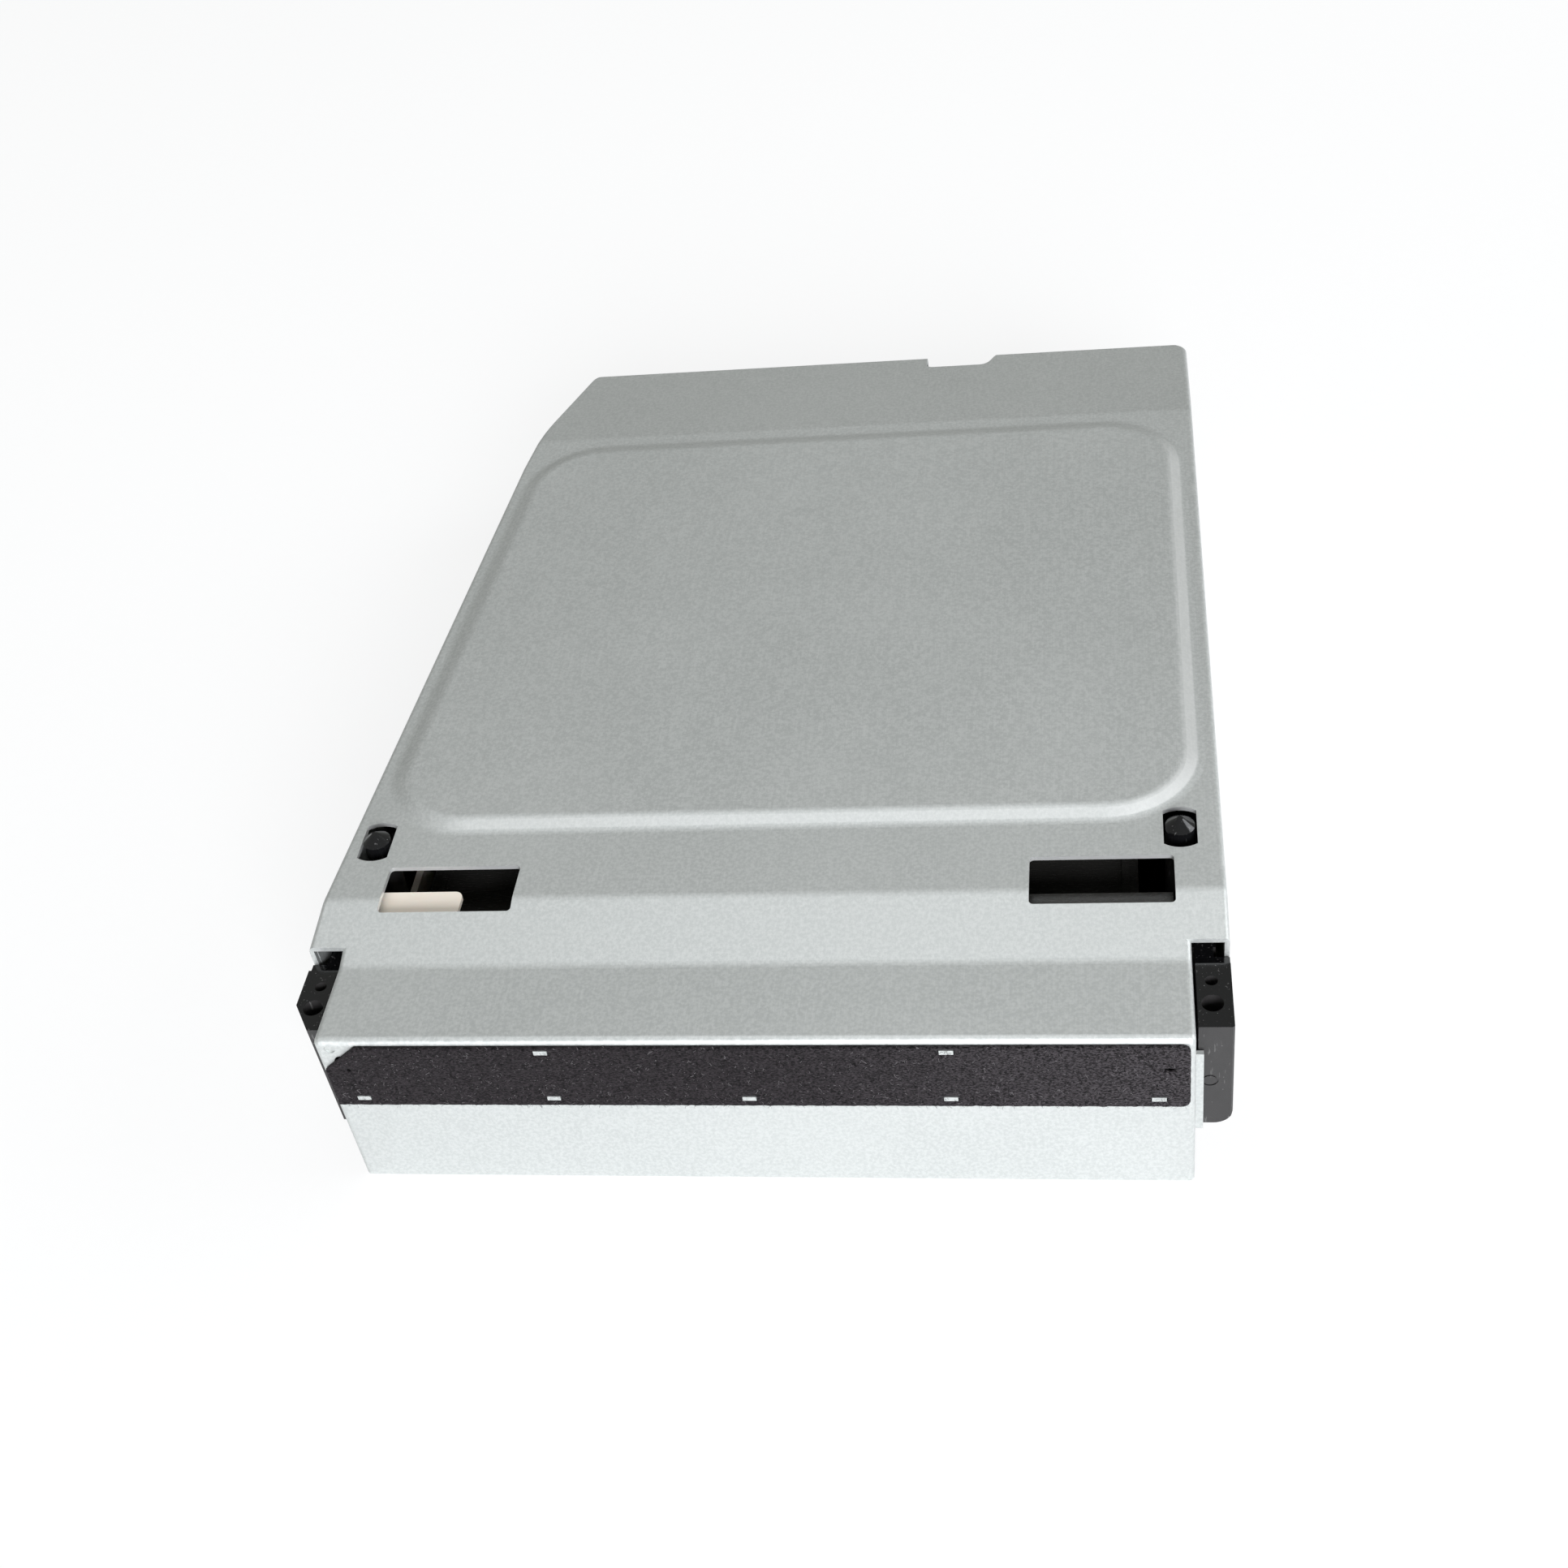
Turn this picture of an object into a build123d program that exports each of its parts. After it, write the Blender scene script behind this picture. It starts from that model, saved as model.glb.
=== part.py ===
from build123d import *
from math import asin, atan2, cos, degrees, hypot, radians, sin
import os

# Slot-loading optical disc drive out of a games console.
# X runs across the drive, the disc slot faces -Y and Z is up. The origin is at the middle
# of the underside. All sizes are in millimetres.

os.makedirs("parts", exist_ok=True)

# Steel case
case_width = 150.0
case_length = 198.5
shoulder = 5.9
nose_width = case_width - 2 * shoulder
top_height = 37.4
shelf_height = top_height - 3.2
rear_height = top_height - 3.5
shelf_depth = 16.0
ramp_end = 28.4
rear_fold = case_length - 32.0
notch_depth = 19.6
left_taper = 9.7
knee_depth = case_length - 41.5
chamfer_depth = case_length - 30.5
chamfer_x = -case_width / 2 + 11.0
rear_left_x = -case_width / 2 + 18.2
steel = 0.8
bend_radius = 1.2
fold_radius = 5.0
rear_corner_radius = 3.5
wall_clear = 1.2

# Raised panel in the top of the case
panel_front = 44.2
panel_rear = rear_fold - 3.5
panel_margin = 2.6
panel_radius = 16.0
panel_rise = 1.0
panel_slope = 3.0
panel_bend = 4.0

# Openings in the top
window_front = 26.0
window_length = 10.0
window_width = 23.0
left_window_x = -case_width / 2 + 22.3
right_window_x = case_width / 2 - 19.5
post_x = case_width / 2 - 6.8
post_depth = 42.4
post_hole_radius = 4.7
post_hole_width = 5.4
rear_notch_x = 18.6
rear_notch_width = 15.4
rear_notch_depth = 5.2

# Disc slot and the felt dust seal stuck over it
disc_plane = 28.2
slot_width = nose_width - 5.2
slot_height = 5.4
slot_centre = disc_plane - 0.2
felt_thickness = 0.8
felt_bottom = 19.4
felt_top = shelf_height - 0.9
felt_width = nose_width - 1.6
felt_slit = 0.12
felt_slit_end = felt_width / 2 - 3.9
tab_width = 2.2
tab_height = 0.9
tab_stand = 0.9
tab_spacing = (felt_width - 9.4) / 4
tab_row_low = felt_bottom + 1.7
tab_row_high = felt_top - 1.1
tab_clear = 0.3

# Bottom tray
tray_gap = 0.15
tray_wall_height = 14.0
tray_panel_rise = 1.0
dimple_radius = 4.5

# Moulded frame
frame_gap = 0.3
frame_wall = 2.0
frame_floor_low = 2.0
frame_floor = 2.6
frame_wall_top = top_height - 6.4
entry_floor = 22.0
frame_opening_front = 48.0
frame_opening_rear = case_length - 48.5
frame_opening_half = case_width / 2 - 19.0
ear_inner_x = nose_width / 2 + 0.5
ear_front = 4.2
ear_rear = 19.2
ear_top = shelf_height - 2.0
ear_bottom = 9.4
ear_hole_x = case_width / 2 - 3.1
ear_bolt_depth = 9.0
ear_bolt_radius = 1.7
ear_pilot_depth = 13.6
ear_pilot_radius = 1.0
ear_step_depth = 17.2
ear_step = 0.8
left_ear_cut_x = 3.3
left_ear_cut_depth = 5.4
ear_toe_radius = 3.0
ear_mark_x = ear_hole_x - 0.5
ear_mark_height = 19.8
ear_lip_top = 27.2
post_radius = 2.4
post_tip = top_height + 2.0

# Fits
running_fit = 0.05
slip_gap = 0.3
plate_gap = 0.1

# Turning centres of the loading gear, as depth from the front face and height
drive_axis = (24.0, 17.0)
drive_pin_radius = 1.2
bracket_reach = 12.5
roller_rest_height = 20.9
roller_lift = 2.9
gear_module = 0.5
drive_gear_teeth = 36
motor_gear_teeth = 10
motor_axis_height = 9.0
gear_x = -case_width / 2 + 13.4
gear_width = 2.4
pulley_x = gear_x + gear_width + 0.6
pulley_width = 2.2
drive_pulley_radius = 4.5
roller_pulley_radius = 3.4
belt_thickness = 0.6
motor_radius = 6.0
motor_length = 20.0
motor_plate_x = pulley_x + pulley_width + 1.9
motor_plate = 1.4
roller_radius = 4.2
roller_waist = 3.6
roller_core_radius = 1.5
bracket_arm_x = case_width / 2 - 12.9
roller_half_length = bracket_arm_x - 10.1
bracket_plate = 0.8
bracket_bar_depth = 6.0

# Plate behind the roller that the disc slides over
table_front = window_front + 9.0
table_rear = 52.0
table_top = 25.9
table_thickness = 1.2
table_leg = 3.4

# Cam slider
slider_travel = 8.0
slider_x = -case_width / 2 + 9.8
slider_plate = 1.2
slider_front = 30.0
slider_bottom = 8.0
slider_top = 25.5
flange_front = window_front - 2.0
flange_rear = window_front + 6.4
flange_right_x = left_window_x + 1.7
flange_top = top_height - 2.4
flange_thickness = 0.8
rail_lip = 1.0

# Deck that carries the spindle and the pickup
spindle_depth = 95.0
deck_hinge_depth = case_length - 28.5
deck_hinge_height = 17.6
deck_drop_angle = 2.2
deck_plane = 17.0
deck_plate_thickness = 1.2
deck_half_width = 44.0
deck_front = 56.0
deck_rear = deck_hinge_depth + 6.0
deck_pin_depth = deck_front + 4.0
deck_pin_height = 16.0
deck_pin_radius = 1.2
spindle_motor_radius = 13.5
platter_radius = 14.5
boss_radius = 7.3
spindle_shaft_radius = 1.5
rod_x = 28.0
rod_height = 14.0
rod_radius = 1.5
rod_rear = deck_hinge_depth + 3.0
sled_front = spindle_depth + 16.5
rod_front = sled_front - 1.5
sled_rear = sled_front + 23.5
sled_travel = rod_rear - 7.0 - sled_rear
sled_bottom = 11.5
sled_top = 21.5
lens_depth = sled_front + 10.5
lens_radius = 3.2
lens_top = 26.6
holder_width = 13.0
holder_length = 8.4
holder_depth = 3.6
screw_x = 38.0
screw_height = 12.0
screw_radius = 1.5
feed_motor_radius = 4.9
feed_motor_front = spindle_depth - 3.0
feed_motor_length = 13.0

# Clamp over the disc
arm_plane = top_height - 5.0
arm_plate_thickness = 1.0
arm_lift_angle = 1.8
arm_hinge_height = arm_plane - 1.4
arm_half_width = 45.2
arm_foot_depth = 84.0
slider_rear = arm_foot_depth + 2.0
arm_foot_height = arm_plane - 1.8
clamper_radius = 15.0
clamper_neck = 10.0

# Levers that the edge of a disc pushes apart
lever_pivot_x = case_width / 2 - 11.4
lever_pivot_depth = 64.0
lever_length = 28.0
lever_rest_angle = 60.0
lever_plane = top_height - 6.4
lever_thickness = 1.4
lever_pin_radius = 1.5
lever_post_radius = 1.2

# Control board
board_low = 6.2
board_thickness = 1.2
board_left = -40.0
board_right = 44.0
board_front = deck_hinge_depth - 42.0
board_rear = case_length - 12.5

board_screw_columns = (board_left + 6.0, board_right - 6.0)
board_screw_rows = (board_rear - 30.0, board_rear - 5.0)
board_screw_places = [(x, depth) for x in board_screw_columns for depth in board_screw_rows]

half_width = case_width / 2
half_nose = nose_width / 2
front_y = -(case_length - felt_thickness) / 2
knee_x = left_taper - half_width
side_slope = left_taper / (knee_depth - notch_depth)
cavity_inset = steel
tray_inset = steel + tray_gap
frame_inset = tray_inset + steel + frame_gap
ramp_slope = (top_height - shelf_height) / (ramp_end - shelf_depth)


def at(depth):
    """Y of a place so far behind the front face."""
    return front_y + depth


def side_x(depth):
    """X of the case's left side at a depth."""
    return -half_width + side_slope * (depth - notch_depth)


def drawn_in(corners, inset):
    """The corners of a polygon, listed anticlockwise, with every side moved inwards."""
    moved = []
    for here, (x, y) in enumerate(corners):
        before = corners[here - 1]
        after = corners[(here + 1) % len(corners)]
        inward = []
        for start, end in ((before, (x, y)), ((x, y), after)):
            length = hypot(end[0] - start[0], end[1] - start[1])
            inward.append((-(end[1] - start[1]) / length, (end[0] - start[0]) / length))
        (ax, ay), (bx, by) = inward
        share = inset / (1 + ax * bx + ay * by)
        moved.append((x + share * (ax + bx), y + share * (ay + by)))
    return moved


def plan_outline(inset, height):
    """The case seen from above, drawn in all round by the inset."""
    corners = [
        (half_nose, at(0)),
        (half_nose, at(notch_depth)),
        (half_width, at(notch_depth)),
        (half_width, at(case_length)),
        (rear_left_x, at(case_length)),
        (chamfer_x, at(chamfer_depth)),
        (knee_x, at(knee_depth)),
        (-half_width, at(notch_depth)),
        (-half_nose, at(notch_depth)),
        (-half_nose, at(0)),
    ]
    with BuildSketch(Plane.XY.offset(height)) as plan:
        with BuildLine():
            Polyline(*drawn_in(corners, inset), close=True)
        make_face()
        fillet(plan.vertices().group_by(Axis.Y)[-1], max(rear_corner_radius - inset, 0.5))
    return plan.sketch


def roof_profile(inset, floor):
    """The case seen from its side: front wall, shelf, ramp, top, rear slope and rear wall."""
    corners = [
        (at(0), floor - inset),
        (at(case_length), floor - inset),
        (at(case_length), rear_height),
        (at(rear_fold), top_height),
        (at(ramp_end), top_height),
        (at(shelf_depth), shelf_height),
        (at(0), shelf_height),
    ]
    with BuildSketch(Plane.YZ) as profile:
        with BuildLine():
            Polyline(*drawn_in(corners, inset), close=True)
        make_face()
        ends = profile.vertices().filter_by(lambda v: v.Y > floor + 2).sort_by(Axis.X)
        fillet([ends[0], ends[-1]], max(bend_radius - inset, 0.3))
        folds = profile.vertices().filter_by(
            lambda v: v.Y > floor + 2 and at(5) < v.X < at(case_length - 10)
        )
        fillet(folds, fold_radius)
    return profile.sketch


def case_block(inset, floor):
    """A solid of the whole case, drawn in all round by the inset."""
    profile = roof_profile(inset, floor)
    plan = plan_outline(inset, floor)
    with BuildPart() as block:
        extrude(profile, amount=case_width, both=True)
        extrude(plan, amount=top_height + steel - floor, mode=Mode.INTERSECT)
    return block.part


def panel_outline(height):
    """Edge of the raised panel, parallel to the sides of the case."""
    with BuildSketch(Plane.XY.offset(height)) as panel:
        with BuildLine():
            Polyline(
                (half_width - panel_margin, at(panel_front)),
                (half_width - panel_margin, at(panel_rear)),
                (side_x(panel_rear) + panel_margin, at(panel_rear)),
                (side_x(panel_front) + panel_margin, at(panel_front)),
                close=True,
            )
        make_face()
        fillet(panel.vertices(), panel_radius)
    return panel.sketch


def gear_points(teeth, phase):
    """Points round a spur gear with straight flanks, its first tooth at the phase angle."""
    pitch = 360 / teeth
    tip = gear_module * (teeth / 2 + 0.9)
    root = gear_module * (teeth / 2 - 1.15)
    points = []
    for tooth in range(teeth):
        for radius, share in ((root, -0.30), (tip, -0.13), (tip, 0.13), (root, 0.30)):
            angle = radians(phase + (tooth + share) * pitch)
            points.append((radius * cos(angle), radius * sin(angle)))
    return points


def side_plane(x, depth, height):
    """A plane square to X, with its origin at a depth and height."""
    return Plane(origin=(x, at(depth), height), x_dir=(0, 1, 0), z_dir=(1, 0, 0))


def front_plane(depth):
    """A plane square to Y at a depth, drawn in X and Z and facing the front."""
    return Plane(origin=(0, at(depth), 0), x_dir=(1, 0, 0), z_dir=(0, -1, 0))


def save(piece, name):
    piece.part.label = name
    export_step(piece.part, f"parts/{name}.step")


# Top cover: one sheet-steel pressing. The front wall with the disc slot, the shelf, the ramp,
# the raised panel and the rear slope are bent from one blank, with walls down both sides.
cover_outside = case_block(0, 0)
cover_inside = case_block(cavity_inset, -4)
panel_above = panel_outline(top_height)
panel_below = panel_outline(top_height - steel)
panel_taper = degrees(atan2(panel_slope, panel_rise))
tab_places = [(n * tab_spacing, tab_row_low) for n in (-2, -1, 0, 1, 2)]
tab_places += [(n * tab_spacing, tab_row_high) for n in (-1, 1)]

with BuildPart() as top_cover:
    add(cover_outside)
    roof_sides = top_cover.edges().filter_by(
        lambda e: e.center().Z > shelf_height - 1.5
        and abs(e.center().X) > half_nose - 8
        and abs(e.tangent_at(0.5).X) < 0.6
    )
    fillet(roof_sides, bend_radius * 0.8)
    add(cover_inside, mode=Mode.SUBTRACT)
    extrude(panel_above, amount=panel_rise, taper=panel_taper)
    panel_brow = top_cover.edges().filter_by(lambda e: e.center().Z > top_height + panel_rise - 0.05)
    fillet(panel_brow, panel_bend)
    panel_foot = top_cover.edges().filter_by(
        lambda e: abs(e.center().Z - top_height) < 0.02
        and at(panel_front) - 0.1 < e.center().Y < at(panel_rear) + 0.1
        and side_x(e.center().Y - front_y) + panel_margin - 0.1
        < e.center().X
        < half_width - panel_margin + 0.1
    )
    fillet(panel_foot, panel_bend)
    extrude(panel_below, amount=panel_rise, taper=panel_taper, mode=Mode.SUBTRACT)
    # Windows over the loading gear
    with BuildSketch(Plane.XY.offset(top_height + 1)):
        with Locations(
            (left_window_x, at(window_front + window_length / 2)),
            (right_window_x, at(window_front + window_length / 2)),
        ):
            RectangleRounded(window_width, window_length, 0.7)
    extrude(amount=-6, mode=Mode.SUBTRACT)
    # Holes with two flats round the locating posts
    with BuildSketch(Plane.XY.offset(top_height + 1)) as post_holes:
        with Locations((-post_x, at(post_depth)), (post_x, at(post_depth))):
            Circle(post_hole_radius)
        with Locations((0, at(post_depth))):
            Rectangle(2 * post_x + post_hole_width, 30, mode=Mode.INTERSECT)
            Rectangle(2 * post_x - post_hole_width, 30, mode=Mode.SUBTRACT)
    extrude(amount=-6, mode=Mode.SUBTRACT)
    # Notch in the rear edge for the flat cable, open through the rear wall
    with BuildSketch(Plane.XY.offset(top_height + 1)) as rear_notch:
        notch_right = rear_notch_x + rear_notch_width
        notch_floor = at(case_length - rear_notch_depth)
        with BuildLine():
            straight = Polyline(
                (notch_right + 2, at(case_length) + 2),
                (rear_notch_x, at(case_length) + 2),
                (rear_notch_x, notch_floor),
                (notch_right - 4, notch_floor),
            )
            bend = Spline(straight @ 1, (notch_right + 1, at(case_length)), tangents=((1, 0), (1, 0.3)))
            Line(bend @ 1, straight @ 0)
        make_face()
        fillet(rear_notch.vertices().group_by(Axis.Y)[0].sort_by(Axis.X)[0], 1.4)
    extrude(amount=-(top_height - frame_floor_low), mode=Mode.SUBTRACT)
    # Disc slot
    with BuildSketch(front_plane(-1)):
        with Locations((0, slot_centre)):
            RectangleRounded(slot_width, slot_height, 1.2)
    extrude(amount=-(steel + 2), mode=Mode.SUBTRACT)
    # Lanced tabs that hold the felt
    with BuildSketch(front_plane(0.2)):
        with Locations(*tab_places):
            Rectangle(tab_width, tab_height)
    extrude(amount=felt_thickness * tab_stand + 0.2)
    # Round pilot mark beside the felt
    with BuildSketch(front_plane(-0.5)):
        with Locations((2.5 - half_nose, tab_row_high + 0.2)):
            Circle(0.9)
    extrude(amount=-0.8, mode=Mode.SUBTRACT)
    # Narrow lip folded out of the nose wall in front of the right ear
    with BuildSketch(front_plane(ear_front - slip_gap)):
        with Locations((half_nose + 0.35, (ear_bottom + ear_lip_top) / 2)):
            Rectangle(1.9, ear_lip_top - ear_bottom)
    extrude(amount=steel)
    # The side walls stop short of the underside, and leave room for the ears of the frame
    with BuildSketch(Plane.XY.offset(-1)):
        with Locations((0, at(case_length / 2 + steel + 1))):
            Rectangle(case_width + 10, case_length)
    extrude(amount=1 + wall_clear, mode=Mode.SUBTRACT)
    ear_span = half_width - steel - half_nose
    ear_opening_top = shelf_height + ramp_slope * (notch_depth - shelf_depth) - steel * 1.05
    with BuildSketch(Plane.XY.offset(-1)):
        with Locations(
            (half_nose + ear_span / 2, at(notch_depth + steel / 2)),
            (-half_nose - ear_span / 2, at(notch_depth + steel / 2)),
        ):
            Rectangle(ear_span, steel + 0.4)
    extrude(amount=1 + ear_opening_top, mode=Mode.SUBTRACT)
save(top_cover, "top_cover")


# Bottom tray: flat steel plate with low walls that tuck inside the walls of the top cover
tray_plan = plan_outline(tray_inset, 0)
tray_wall_plan = plan_outline(tray_inset, steel)
tray_hollow_plan = plan_outline(tray_inset + steel, steel)
front_screw_x = half_nose - 11.1
rear_screw_depth = case_length - 10.5
screw_places = [(-front_screw_x, 14.0), (front_screw_x, 14.0)]
screw_places += [(rear_left_x + 4.8, rear_screw_depth), (half_width - 13.0, rear_screw_depth)]
tray_panel_width = case_width - 54.0
tray_panel_length = case_length - 114.5
tray_panel_depth = (case_length + 11.5) / 2

with BuildPart() as bottom_cover:
    extrude(tray_wall_plan, amount=tray_wall_height - steel)
    extrude(tray_hollow_plan, amount=tray_wall_height, mode=Mode.SUBTRACT)
    # No wall behind the front wall of the cover, round the ears or behind the flat cable
    with BuildSketch(Plane.XY.offset(steel)):
        with Locations((0, at(0))):
            Rectangle(case_width, 2 * (notch_depth + 3))
        with Locations((rear_notch_x + rear_notch_width / 2, at(case_length))):
            Rectangle(rear_notch_width + 2, 12)
    extrude(amount=tray_wall_height, mode=Mode.SUBTRACT)
    extrude(tray_plan, amount=steel)
    # Stiffening panel pressed inwards
    with BuildSketch(Plane.XY.offset(steel)):
        with Locations((0, at(tray_panel_depth))):
            RectangleRounded(tray_panel_width, tray_panel_length, 8)
    extrude(amount=tray_panel_rise, taper=30)
    with BuildSketch():
        with Locations((0, at(tray_panel_depth))):
            RectangleRounded(tray_panel_width, tray_panel_length, 8)
    extrude(amount=tray_panel_rise, taper=30, mode=Mode.SUBTRACT)
    # Dimples that take the screw heads
    with BuildSketch(Plane.XY.offset(steel)):
        with Locations(*[(x, at(depth)) for x, depth in screw_places]):
            Circle(dimple_radius)
    extrude(amount=tray_panel_rise, taper=20)
    with BuildSketch():
        with Locations(*[(x, at(depth)) for x, depth in screw_places]):
            Circle(dimple_radius)
    extrude(amount=tray_panel_rise, taper=20, mode=Mode.SUBTRACT)
    with BuildSketch():
        with Locations(*[(x, at(depth)) for x, depth in screw_places]):
            Circle(1.4)
    extrude(amount=4, mode=Mode.SUBTRACT)
save(bottom_cover, "bottom_cover")


# Tray screws: pan heads in the dimples, shanks up into the frame
screw_head_top = tray_panel_rise
with BuildPart() as tray_screws:
    with BuildSketch(Plane.XY.offset(screw_head_top - 0.9)):
        with Locations(*[(x, at(depth)) for x, depth in screw_places]):
            Circle(2.3)
    extrude(amount=0.9)
    with BuildSketch(Plane.XY.offset(screw_head_top)):
        with Locations(*[(x, at(depth)) for x, depth in screw_places]):
            Circle(1.0)
    extrude(amount=5.0)
    with BuildSketch(Plane.XY.offset(screw_head_top - 0.9)):
        with Locations(*[(x, at(depth)) for x, depth in screw_places]):
            Rectangle(2.6, 0.5)
            Rectangle(0.5, 2.6)
    extrude(amount=0.5, mode=Mode.SUBTRACT)
save(tray_screws, "tray_screws")


# Moulded frame: floor, walls, mounting ears, locating posts and every bearing of the mechanism
frame_floor_top = frame_floor_low + frame_floor
frame_floor_plan = plan_outline(frame_inset, frame_floor_low)
frame_wall_plan = plan_outline(frame_inset, frame_floor_top)
frame_hollow_plan = plan_outline(frame_inset + frame_wall, frame_floor_top)
motor_drop = drive_axis[1] - motor_axis_height
motor_centres = gear_module * (drive_gear_teeth + motor_gear_teeth) / 2
motor_depth = drive_axis[0] + (motor_centres**2 - motor_drop**2) ** 0.5
wall_inner_front = half_width - frame_inset - frame_wall
lever_shelf_top = lever_plane - slip_gap
ear_link_x = half_width - frame_inset - 6 * side_slope
column_x = deck_half_width + 4.5
column_width = 5.0
column_length = 8.0
pivot_boss_radius = 3.2

with BuildPart() as chassis_frame:
    extrude(frame_floor_plan, amount=frame_floor)
    extrude(frame_wall_plan, amount=frame_wall_top - frame_floor_top)
    extrude(frame_hollow_plan, amount=frame_wall_top, mode=Mode.SUBTRACT)
    # Opening under the deck, and pocket under the loading motor
    with BuildSketch(Plane.XY.offset(frame_floor_low - 1)):
        with Locations((0, at((frame_opening_front + frame_opening_rear) / 2))):
            RectangleRounded(2 * frame_opening_half, frame_opening_rear - frame_opening_front, 5)
        with Locations((motor_plate_x + motor_length / 2 + 0.2, at(motor_depth))):
            Rectangle(motor_length + 1.2, 2 * motor_radius + 1.2)
    extrude(amount=frame_floor + 2, mode=Mode.SUBTRACT)
    # Way in for the disc through the front wall
    with BuildSketch(front_plane(0)):
        with Locations((0, (entry_floor + frame_wall_top + 2) / 2)):
            Rectangle(2 * (half_nose - frame_inset - frame_wall), frame_wall_top + 2 - entry_floor)
    extrude(amount=-(frame_inset + frame_wall + 1), mode=Mode.SUBTRACT)
    # Mounting ears, in front of the side walls: the left one has its outer corner cut off
    with BuildSketch(Plane.XY.offset(ear_bottom)) as ears:
        for side, cut_x, cut_depth in ((-1, left_ear_cut_x, left_ear_cut_depth), (1, 0.3, 0.3)):
            with BuildLine():
                Polyline(
                    (side * ear_inner_x, at(ear_front)),
                    (side * (half_width - cut_x), at(ear_front)),
                    (side * half_width, at(ear_front + cut_depth)),
                    (side * half_width, at(ear_rear)),
                    (side * ear_link_x, at(ear_rear)),
                    (side * ear_link_x, at(notch_depth + 5)),
                    (side * ear_inner_x, at(notch_depth + 5)),
                    close=True,
                )
            make_face()
    extrude(amount=ear_top - ear_bottom)
    # Rounded outer toe of the right ear, and a shallow ejector mark in its face
    with BuildSketch(front_plane(ear_front - 1)) as toe:
        with BuildLine():
            Polyline(
                (half_width + 0.1, ear_bottom - 0.1),
                (half_width + 0.1, ear_bottom + ear_toe_radius),
                (half_width, ear_bottom + ear_toe_radius),
                (half_width - ear_toe_radius, ear_bottom),
                (half_width - ear_toe_radius, ear_bottom - 0.1),
                close=True,
            )
        make_face()
        with Locations((half_width - ear_toe_radius, ear_bottom + ear_toe_radius)):
            Circle(ear_toe_radius, mode=Mode.SUBTRACT)
    extrude(amount=-ear_rear, mode=Mode.SUBTRACT)
    with BuildSketch(front_plane(ear_front + 0.15)):
        with Locations((ear_mark_x, ear_mark_height)):
            Circle(1.3)
            Circle(1.0, mode=Mode.SUBTRACT)
    extrude(amount=1.0, mode=Mode.SUBTRACT)
    # Lower step at the back of each ear, screw holes and pilot holes
    with BuildSketch(Plane.XY.offset(ear_top)):
        with Locations((0, at(ear_step_depth + 4))):
            Rectangle(case_width + 2, 8)
            Rectangle(2 * ear_inner_x - 4, 8, mode=Mode.SUBTRACT)
    extrude(amount=-ear_step, mode=Mode.SUBTRACT)
    with BuildSketch(Plane.XY.offset(ear_top)):
        with Locations((-ear_hole_x, at(ear_bolt_depth)), (ear_hole_x, at(ear_bolt_depth))):
            Circle(ear_bolt_radius)
        with Locations((-ear_hole_x, at(ear_pilot_depth)), (ear_hole_x, at(ear_pilot_depth))):
            Circle(ear_pilot_radius)
    extrude(amount=-(ear_top - ear_bottom + 1), mode=Mode.SUBTRACT)
    # Locating posts with conical tips, on columns in the side walls
    for side in (-1, 1):
        with BuildSketch(Plane.XY.offset(frame_floor_top)):
            with Locations((side * post_x, at(post_depth))):
                Circle(post_radius)
        extrude(amount=post_tip - 1.6 - frame_floor_top)
        with BuildSketch(Plane.XY.offset(post_tip - 1.6)) as tip_base:
            with Locations((side * post_x, at(post_depth))):
                Circle(post_radius)
        extrude(amount=1.6, taper=50)
    # Bosses for the drive pin and the bracket pin
    for side in (-1, 1):
        with BuildSketch(side_plane(side * (wall_inner_front + 0.5), *drive_axis)):
            Circle(pivot_boss_radius)
        extrude(amount=-side * (wall_inner_front + 0.5 - bracket_arm_x - bracket_plate - 0.5))
        with BuildSketch(side_plane(side * (wall_inner_front + 1), *drive_axis)):
            Circle(drive_pin_radius + running_fit)
        extrude(amount=-side * 12, mode=Mode.SUBTRACT)
    # Plate that carries the loading motor
    motor_plate_top = motor_axis_height + motor_radius + 0.2
    with BuildSketch(side_plane(motor_plate_x - motor_plate, motor_depth, 0)):
        with Locations((0, (frame_floor_low + motor_plate_top) / 2)):
            Rectangle(2 * motor_radius + 2.4, motor_plate_top - frame_floor_low)
        with Locations((0, motor_axis_height)):
            Circle(2.2, mode=Mode.SUBTRACT)
    extrude(amount=motor_plate)
    # Rail under the cam slider, with a lip each side of it
    rail_depth = (slider_front + slider_travel + slider_rear + slider_travel) / 2
    rail_length = slider_rear - slider_front
    slider_middle = slider_x + slider_plate / 2
    with BuildSketch(Plane.XY.offset(frame_floor_top)):
        with Locations((slider_middle, at(rail_depth))):
            Rectangle(slider_plate + 2 * slip_gap + 2 * rail_lip, rail_length)
    extrude(amount=slider_bottom + 2.0 - frame_floor_top)
    with BuildSketch(Plane.XY.offset(slider_bottom - slip_gap)):
        with Locations((slider_middle, at(rail_depth))):
            Rectangle(slider_plate + 2 * slip_gap, rail_length + 2)
    extrude(amount=3.0, mode=Mode.SUBTRACT)
    # Shelves and posts that the disc levers turn on
    for side in (-1, 1):
        wall_x = half_width - frame_inset - 1
        if side < 0:
            wall_x = -side_x(lever_pivot_depth + 6) - frame_inset - 0.6
        shelf_inner = lever_pivot_x - 2.0
        with BuildSketch(Plane.XY.offset(lever_shelf_top - 3.4)):
            with Locations((side * (wall_x + shelf_inner) / 2, at(lever_pivot_depth - 0.5))):
                Rectangle(wall_x - shelf_inner, 10)
        extrude(amount=3.4)
        with BuildSketch(Plane.XY.offset(lever_shelf_top)):
            with Locations((side * lever_pivot_x, at(lever_pivot_depth))):
                Circle(lever_post_radius)
        extrude(amount=lever_thickness + 1.0)
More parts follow.
